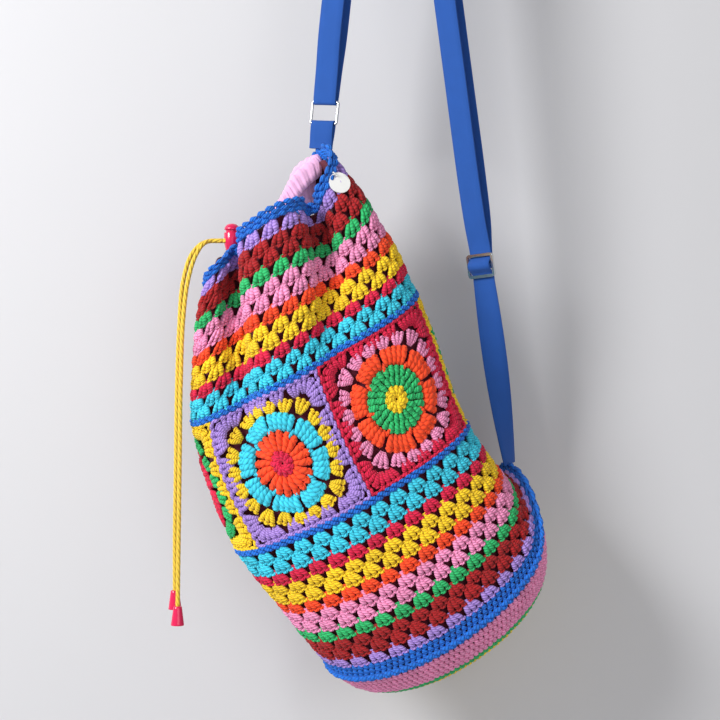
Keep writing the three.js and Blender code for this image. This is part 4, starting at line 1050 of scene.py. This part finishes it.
def rope(name, line, node):
    p, f, t = tube(line, CORD * 0.985, sides=12, lobes=3, depth=0.035, turns=lengths_along(line)[-1] / 11)
    return finished(make_mesh(name, p, f, t, material=cord_cotton), node)


for name, side, route in (("front", -1, FRONT_CORD), ("back", 1, BACK_CORD)):
    start = lane(-9.3, side)
    line = smooth_line(start + np.array(route, float), 3.0)
    cord = rope(f"free_cord_{name}", line, f"drawcord_end_{name}")
    tip, up = line[-1], unit(line[-3] - line[-1])
    cone = lathe(f"cord_cone_{name}", [
        (2.5, -0.3), (2.5, 6), (3.2, 6.05), (3.8, 5.7), (4.2, 5.2), (4.5, 3), (5.7, -6), (6.4, -11), (6.5, -12.2),
        (6.3, -12.9), (5.8, -13), (5.3, -12.9), (2.5, -5)], plastic)
    finished(set_at(cone, tip, up), f"cord_end_{name}")

loop = [lane(x, -1) for x in (-8.9, 0, LOCK, lane_end)]
angles = np.array([166, 156, 144, 132, 120, 108, 96, 84, 72, 60, 48, 36, 24, 12, 0.0])
for turn in (angles, -angles[:-1][::-1]):
    loop += list(casing_point(turn, CORD_LEVEL, 0) + casing_shift(turn, CORD_LEVEL))
loop += [lane(x, 1) for x in (lane_end, LOCK, 0, -8.9)]
rope("cord_in_casing", smooth_line(loop, 5.0), "drawcord_in_casing")

# %% [markdown]
# The lock's cup and button are turned, and the cord's hole is cut through both. The spring is a wire coil
# that the stem presses together.

# %% Cord lock
TOP, BOTTOM, STEM, TRAVEL = 7.98, -11.02, -4.4, 2.5
FLOOR, WIRE, COIL, COIL_TURNS, COIL_POINTS = 1.6, 0.6, 4.6, 2.5, 80
HOLE_REACH, HOLE_WIDE, HOLE_HIGH = 16, 5.1, 2.5
UPRIGHT = np.array([0, 0, 1.0])
head = TOP + TRAVEL + 0.3
cup_profile = [
    (2.5, BOTTOM), (4.4, BOTTOM), (5.2, BOTTOM + 0.5), (6.2, BOTTOM + 2.6), (6.9, BOTTOM + 4.4), (7.8, -2.5), (8.0, 0),
    (8.0, TOP - 0.5), (7.7, TOP), (6.8, TOP), (6.5, TOP - 0.4), (6.5, BOTTOM + 2.0), (6.1, BOTTOM + FLOOR),
    (2.5, BOTTOM + FLOOR)]
button_profile = [
    (3, STEM), (6.0, STEM), (6.2, STEM + 0.2), (6.2, head), (7.5, head), (7.8, head + 0.3), (7.75, head + 1.2),
    (7.0, head + 3.2), (5.6, head + 4.9), (3.9, head + 5.9), (1.8, head + 6.4), (0.4, head + 6.5)]
for name, profile, hole_top, node, body in (
        ("lock_cup", cup_profile, HOLE_HIGH, "cord_lock_body", "cord_lock"),
        ("lock_button", button_profile, HOLE_HIGH + TRAVEL, "cord_lock_button", "lock_button")):
    turned = set_at(lathe(name, profile, plastic), lock_centre, UPRIGHT)
    without(turned, lock_centre + (-HOLE_REACH, -HOLE_WIDE, -HOLE_HIGH),
            lock_centre + (HOLE_REACH, HOLE_WIDE, hole_top))
    finished(turned, node, body)
angle = 2 * math.pi * COIL_TURNS * np.linspace(0, 1, COIL_POINTS)
low, high = BOTTOM + FLOOR + WIRE, STEM - WIRE
rise = np.linspace(low, high, COIL_POINTS)
coil = lock_centre + np.stack([COIL * np.cos(angle), COIL * np.sin(angle), rise], axis=1)
p, f, t = tube(coil, WIRE / 2, sides=8, depth=0)
spring = finished(make_mesh("lock_spring", p, f, t, material=steel), "cord_lock_spring", "cord_lock")
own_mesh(spring)
print("lock at", lock_centre.round(2))

# %% [markdown]
# ## Shoulder strap
# One length of cotton webbing. It is sewn to the hem, goes up through the three-bar slider, over the hook,
# down through the ring, back up over the hook and down to the slider's middle bar, where it is sewn round.
# Its route is a list of stations, each a point and the direction across the webbing.

# %% Strap route
HEM_RIDGE, GAP = 3, 0.3
TWIST, OPEN_AFTER, SHUT_OVER = 330, 180, 70
LAYER_HALF, OPEN_HALF = 1.3, 7
HOOK_TURN, LEFT_TURN, RIGHT_TURN, FOOT_TURN = 90, -27, -36, 60
foot_point = hem.fold(FOOT_ANGLE, -HEM_RIDGE - GAP - THICK / 2)[0]
foot_side = foot_point - hook
right_lean = math.atan2(foot_side[0], -foot_side[2]) - math.asin(LOOP_RADIUS / np.linalg.norm(foot_side))
right_start = hook + np.array([math.cos(right_lean), 0, math.sin(right_lean)]) * LOOP_RADIUS
right_up, left_up = unit(right_start - foot_point), -left_down


class Frame:
    def __init__(self, p, t, turn):
        face = np.array([math.sin(math.radians(turn)), -math.cos(math.radians(turn)), 0])
        self.p, self.t = np.asarray(p, float), t
        self.n = unit(face - t * np.dot(face, t))
        self.w = np.cross(t, self.n)

    def at(self, t, n, w=0.0):
        return self.p + self.t * t + self.n * n + self.w * w

    def station(self, t, n):
        return (self.at(t, n), self.w)

    def turning(self, radius, start, end, steps):
        angles = np.radians(np.linspace(start, end, steps + 1))
        return [self.station(radius * math.sin(a), radius * math.cos(a)) for a in angles]


def smoothstep(x, low, high):
    t = min(1, max(0, (x - low) / (high - low)))
    return t * t * (3 - 2 * t)


def leg(start, up, down, hook_turn, leg_turn):
    turn = hook_turn + (leg_turn - hook_turn) * smoothstep(down, 0, TWIST)
    return Frame(start - up * down, up, turn)


def layer(start, up, length, hook_turn, leg_turn, end_half, side):
    stations = []
    for share in (0.08, 0.2, 0.32, 0.44, 0.56, 0.7, 0.86, 0.93):
        down = share * length
        opened = LAYER_HALF + (OPEN_HALF - LAYER_HALF) * smoothstep(down, 0, OPEN_AFTER)
        half_gap = end_half + (opened - end_half) * smoothstep(length - down, 0, SHUT_OVER)
        stations.append(leg(start, up, down, hook_turn, leg_turn).station(0, side * half_gap))
    return stations


def over_hook(side):
    out = []
    for angle in np.linspace(right_lean, math.pi - left_lean, 8):
        way = np.array([math.cos(angle), 0, math.sin(angle)])
        out.append((hook + way * (LOOP_RADIUS + side * LAYER_HALF), np.array([0, 1.0, 0])))
    return out


ring_frame = leg(left_start, left_up, LEFT, -HOOK_TURN, LEFT_TURN)
slider_frame = leg(right_start, right_up, RIGHT, HOOK_TURN, RIGHT_TURN)
SLIDER_BACK, PLATE, BAR, SLIDER_HEIGHT, RING_WIRE = 4.9, 2.5, 3, 24.6, 1.5
SPLIT = SLIDER_HEIGHT / 2 + 3
slider_frame.p = slider_frame.at(0, SLIDER_BACK)
BEHIND = -PLATE / 2 - THICK / 2 - 0.6
SLIDER_TURN = math.hypot(BAR, PLATE) / 2 + GAP + THICK / 2
BAR_TURN = RING_WIRE + GAP + THICK / 2
EDGE = SLIDER_HEIGHT / 2 - BAR
right = {side: layer(right_start, right_up, RIGHT, HOOK_TURN, RIGHT_TURN, 1.75, side) for side in (1, -1)}
left = {side: layer(left_start, left_up, LEFT, -HOOK_TURN, LEFT_TURN, BAR_TURN, side) for side in (1, -1)}
foot_frame = Frame(foot_point, right_up, FOOT_TURN)
below_slider = slider_frame.at(-SLIDER_HEIGHT, BEHIND)
lower = []
for share in (0.12, 0.35, 0.6, 0.85):
    p = foot_point + (below_slider - foot_point) * share
    lower.append((p, Frame(p, right_up, FOOT_TURN + (RIGHT_TURN - FOOT_TURN) * share).w))
stations = [foot_frame.station(0, 0), *lower, slider_frame.station(-SPLIT, BEHIND)]
cuts = [len(stations) - 1]
stations += [slider_frame.station(-EDGE, BEHIND), *slider_frame.turning(SLIDER_TURN + 1.9, -52, 52, 4),
             slider_frame.station(EDGE, BEHIND), slider_frame.station(SPLIT, BEHIND)]
cuts.append(len(stations) - 1)
stations += right[1][::-1]
cuts.append(len(stations) - 1)
stations += [*over_hook(1), *left[1], *ring_frame.turning(BAR_TURN, 0, -180, 5),
             *left[-1][::-1], *over_hook(-1)[::-1], right[-1][0]]
cuts.append(len(stations) - 1)
stations += [*right[-1][1:], slider_frame.station(12.3, BEHIND - 2.2)]
cuts.append(len(stations) - 1)
stations += [slider_frame.station(EDGE, BEHIND - 2.05), *slider_frame.turning(SLIDER_TURN, 165, 390, 6)]
for i in range(1, len(stations)):
    p, w = stations[i]
    stations[i] = (p, w if np.dot(w, stations[i - 1][1]) > 0 else -w)
print(len(stations), "stations, cut at", cuts)

# %% [markdown]
# Each part of the webbing is a strip with rounded, slightly thicker selvedges. The part in the slider moves
# with the slider, and the part over the hook stays with the bag.

# %% Strap pieces
def strip(name, route, first=0, last=None):
    """A strip of webbing along stations first to last of a route."""
    places = np.array([p for p, _ in route])
    sides = np.array([w for _, w in route])
    chord = lengths_along(places, 0.6)
    place_slopes, side_slopes = tangents(chord, places), tangents(chord, sides)
    last = len(route) - 1 if last is None else last
    at = [chord[first:first + 1]]
    for i in range(first, last):
        n = max(2, int(np.linalg.norm(places[i + 1] - places[i]) / 4))
        at.append(chord[i] + (chord[i + 1] - chord[i]) * np.arange(1, n + 1) / n)
    at = np.concatenate(at)
    line = hermite(chord, places, place_slopes, at)
    width = unit(hermite(chord, sides, side_slopes, at))
    thick = unit(np.cross(np.gradient(line, axis=0), width))
    section = [(-12.1, -0.8), (-6, -0.72), (0, -0.7), (6, -0.72), (12.1, -0.8), (12.5, -0.4), (12.5, 0.4),
               (12.1, 0.8), (6, 0.72), (0, 0.7), (-6, 0.72), (-12.1, 0.8), (-12.5, 0.4), (-12.5, -0.4)]
    steps = lengths_along(line)
    n = len(section)
    points = np.concatenate([[line[i] + width[i] * x + thick[i] * y for x, y in section] for i in range(len(line))])
    faces, uv = [], []
    for i in range(len(line) - 1):
        for j in range(n):
            k = (j + 1) % n
            faces.append((i * n + j, i * n + k, (i + 1) * n + k, (i + 1) * n + j))
            xj, xk = section[j][0] + WIDE / 2, section[k][0] + WIDE / 2
            uv += [(xj, steps[i]), (xk, steps[i]), (xk, steps[i + 1]), (xj, steps[i + 1])]
    end = (len(line) - 1) * n
    faces += [tuple(reversed(range(n))), tuple(end + j for j in range(n))]
    uv += [(x + WIDE / 2, 0) for x, _ in reversed(section)] + [(x + WIDE / 2, steps[-1]) for x, _ in section]
    obj = outward_faces(make_mesh(name, points, faces, uv, "Web", webbing))
    obj.data.set_sharp_from_angle(angle=math.radians(60))
    return obj


strap_foot = strip("strap_to_foot", stations, 0, cuts[0])
strap_left = strip("strap_over_hook", stations, cuts[2], cuts[3])
strap_right = joined("strap_to_slider", strip("strap_front_layer", stations, cuts[1], cuts[2]),
                     strip("strap_back_layer", stations, cuts[3], cuts[4]))
strap_inside = joined("strap_in_slider", strip("strap_through", stations, cuts[0], cuts[1]),
                      strip("strap_end", stations, cuts[4]))
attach(strap_left, "bag")
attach(strap_inside, "slider")
(slider_frame.at(13, BEHIND) * MM).tolist()
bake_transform(strap_right)
(slider_frame.at(-SPLIT, BEHIND) * MM).tolist()
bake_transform(strap_foot)
for piece in (strap_foot, strap_left, strap_right, strap_inside):
    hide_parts("shoulder_strap")
tab_frame = leg(left_start, left_up, LEFT, -HOOK_TURN, LEFT_TURN)
tab_frame.p = ring_bottom
tab_ends = ((-TAB_LENGTH, 0.95), (-18, 1.2), (-12.5, BAR_TURN * 0.8))
tab_route = [*[tab_frame.station(down, half_gap) for down, half_gap in tab_ends],
             *tab_frame.turning(BAR_TURN, 0, 180, 5),
             *[tab_frame.station(down, -half_gap) for down, half_gap in tab_ends[::-1]]]
tab = strip("ring_tab_webbing", tab_route)
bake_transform(tab)
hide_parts("ring_tab")
print("strap pieces made")

# %% [markdown]
# ## Ring and slider
# The ring is one round wire bent into a rounded rectangle. The slider is a cast plate with two slots and
# three bars, its edges rounded so that they don't cut the webbing.

# %% Metal
HALF_WIDE, HALF_HIGH, BEND = 12.5, 9, 2
corners = []
for x, y, start in ((1, 1, 0), (-1, 1, 90), (-1, -1, 180), (1, -1, 270)):
    for angle in np.radians(np.linspace(start, start + 90, 9)):
        high, wide = y * HALF_HIGH + BEND * math.sin(angle), x * HALF_WIDE + BEND * math.cos(angle)
        corners.append(ring_frame.at(high - HALF_HIGH - BEND, 0, wide))
corners = np.array(corners)
filled = []
for a, b in zip(corners, np.roll(corners, -1, axis=0)):
    n = max(1, int(np.linalg.norm(b - a) / 2.5))
    filled += [a + (b - a) * i / n for i in range(n)]
wire_line = np.array(filled)
ahead = unit(np.roll(wire_line, -1, axis=0) - np.roll(wire_line, 1, axis=0))
sideways = np.cross(ahead, ring_frame.n)
spin = 2 * math.pi * np.arange(16) / 16
wire_rings = [centre + RING_WIRE * (np.cos(spin)[:, None] * side + np.sin(spin)[:, None] * ring_frame.n)
              for centre, side in zip(wire_line, sideways)]
ring = outward_faces(ring_mesh("strap_ring", wire_rings, steel, closed=True))
finished(ring, "rectangular_ring", "ring")


def rounded(name, node, body, bevel, material):
    """The CAD piece with merged points and rounded edges."""
    source = next(o for o in bpy.data.objects if o.get("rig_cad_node") and o.name == node)
    mesh = source.data.copy()
    mesh.transform(source.matrix_world)
    obj = added(name, mesh)
    weld = obj.modifiers.new("weld", "WELD")
    weld.merge_threshold = 0.00002
    edges = obj.modifiers.new("edges", "BEVEL")
    edges.width, edges.segments = bevel * MM, 3
    edges.limit_method, edges.angle_limit = "ANGLE", math.radians(40)
    ready = settled(obj).data
    ready.materials.clear()
    ready.materials.append(material)
    ready.polygons.foreach_set("use_smooth", [True] * len(ready.polygons))
    ready.set_sharp_from_angle(angle=math.radians(35))
    return finished(obj, node, body)


rounded("slider_plate", "strap_slider", "slider", 0.7, steel)
rounded("tag_disc", "round_tag", "tag", 0.35, white_plastic)
rounded("tag_thread", "tag_loop", "bag", 0.12, white_thread)
print("ring, slider and tag made")

# %% [markdown]
# ## Wall, floor and light
# The bag hangs in front of a plain white wall. One large soft light stands to the left, above and in front,
# so the wall falls off to grey on the right. A weak light from the front right and a pale surrounding keep the
# folds open.

# %% Stage and lights
def stage_plane(name, points, material):
    mesh = bpy.data.meshes.new(name)
    mesh.from_pydata(points, [], [(0, 1, 2, 3)])
    mesh.materials.append(material)
    added(name, mesh)


def one_sided(material):
    """Clear from behind, so that the bag can also be looked at from the wall's side."""
    nodes, links = material.node_tree.nodes, material.node_tree.links
    mix, clear = nodes.new("ShaderNodeMixShader"), nodes.new("ShaderNodeBsdfTransparent")
    links.new(nodes.new("ShaderNodeNewGeometry").outputs["Backfacing"], mix.inputs["Fac"])
    out = next(node for node in nodes if node.type == "OUTPUT_MATERIAL")
    links.new(out.inputs["Surface"].links[0].from_socket, mix.inputs[1])
    links.new(clear.outputs[0], mix.inputs[2])
    links.new(mix.outputs[0], out.inputs["Surface"])
    return material


paint = one_sided(plain("wall_paint", (209, 209, 212), 0.9, scale=8, spread=0.01))
REACH, WALL, FLOOR_LEVEL, WALL_TOP = 4, 0.12, -1.9, 2.2
foot_of_wall = [(-REACH, WALL, FLOOR_LEVEL), (REACH, WALL, FLOOR_LEVEL)]
stage_plane("wall", [*foot_of_wall, (REACH, WALL, WALL_TOP), (-REACH, WALL, WALL_TOP)], paint)
stage_plane("floor", [(-REACH, -REACH, FLOOR_LEVEL), (REACH, -REACH, FLOOR_LEVEL), *foot_of_wall[::-1]], paint)


def area_light(name, place, target, size, power):
    data = bpy.data.lights.new(name, "AREA")
    data.shape, data.size, data.energy = "DISK", size, power
    obj = added(name, data)
    obj.location = place
    obj.rotation_mode = "QUATERNION"
    obj.rotation_quaternion = (Vector(target) - Vector(place)).to_track_quat("-Z", "Y")


area_light("key", (-1.7, -1.35, 0.3), (-0.12, 0, -0.72), 0.9, 58)
area_light("fill", (0.7, -2.3, -0.6), (0, 0, -0.8), 1.8, 12)
world = bpy.data.worlds.new("surround")
bpy.context.scene.world = world
world.use_nodes = True
background = world.node_tree.nodes["Background"]
background.inputs["Color"].default_value = (1.0, 0.99, 0.97, 1)
background.inputs["Strength"].default_value = 0.36
bpy.context.scene.view_settings.view_transform = "Standard"
print("stage and lights set")

# %% [markdown]
# ## Stitch patterns
# The stitch shapes were only patterns, so they go.

# %% Finish
for pattern in (fan_stitch, post_stitch, chain_stitch):
    bpy.data.objects.remove(pattern)
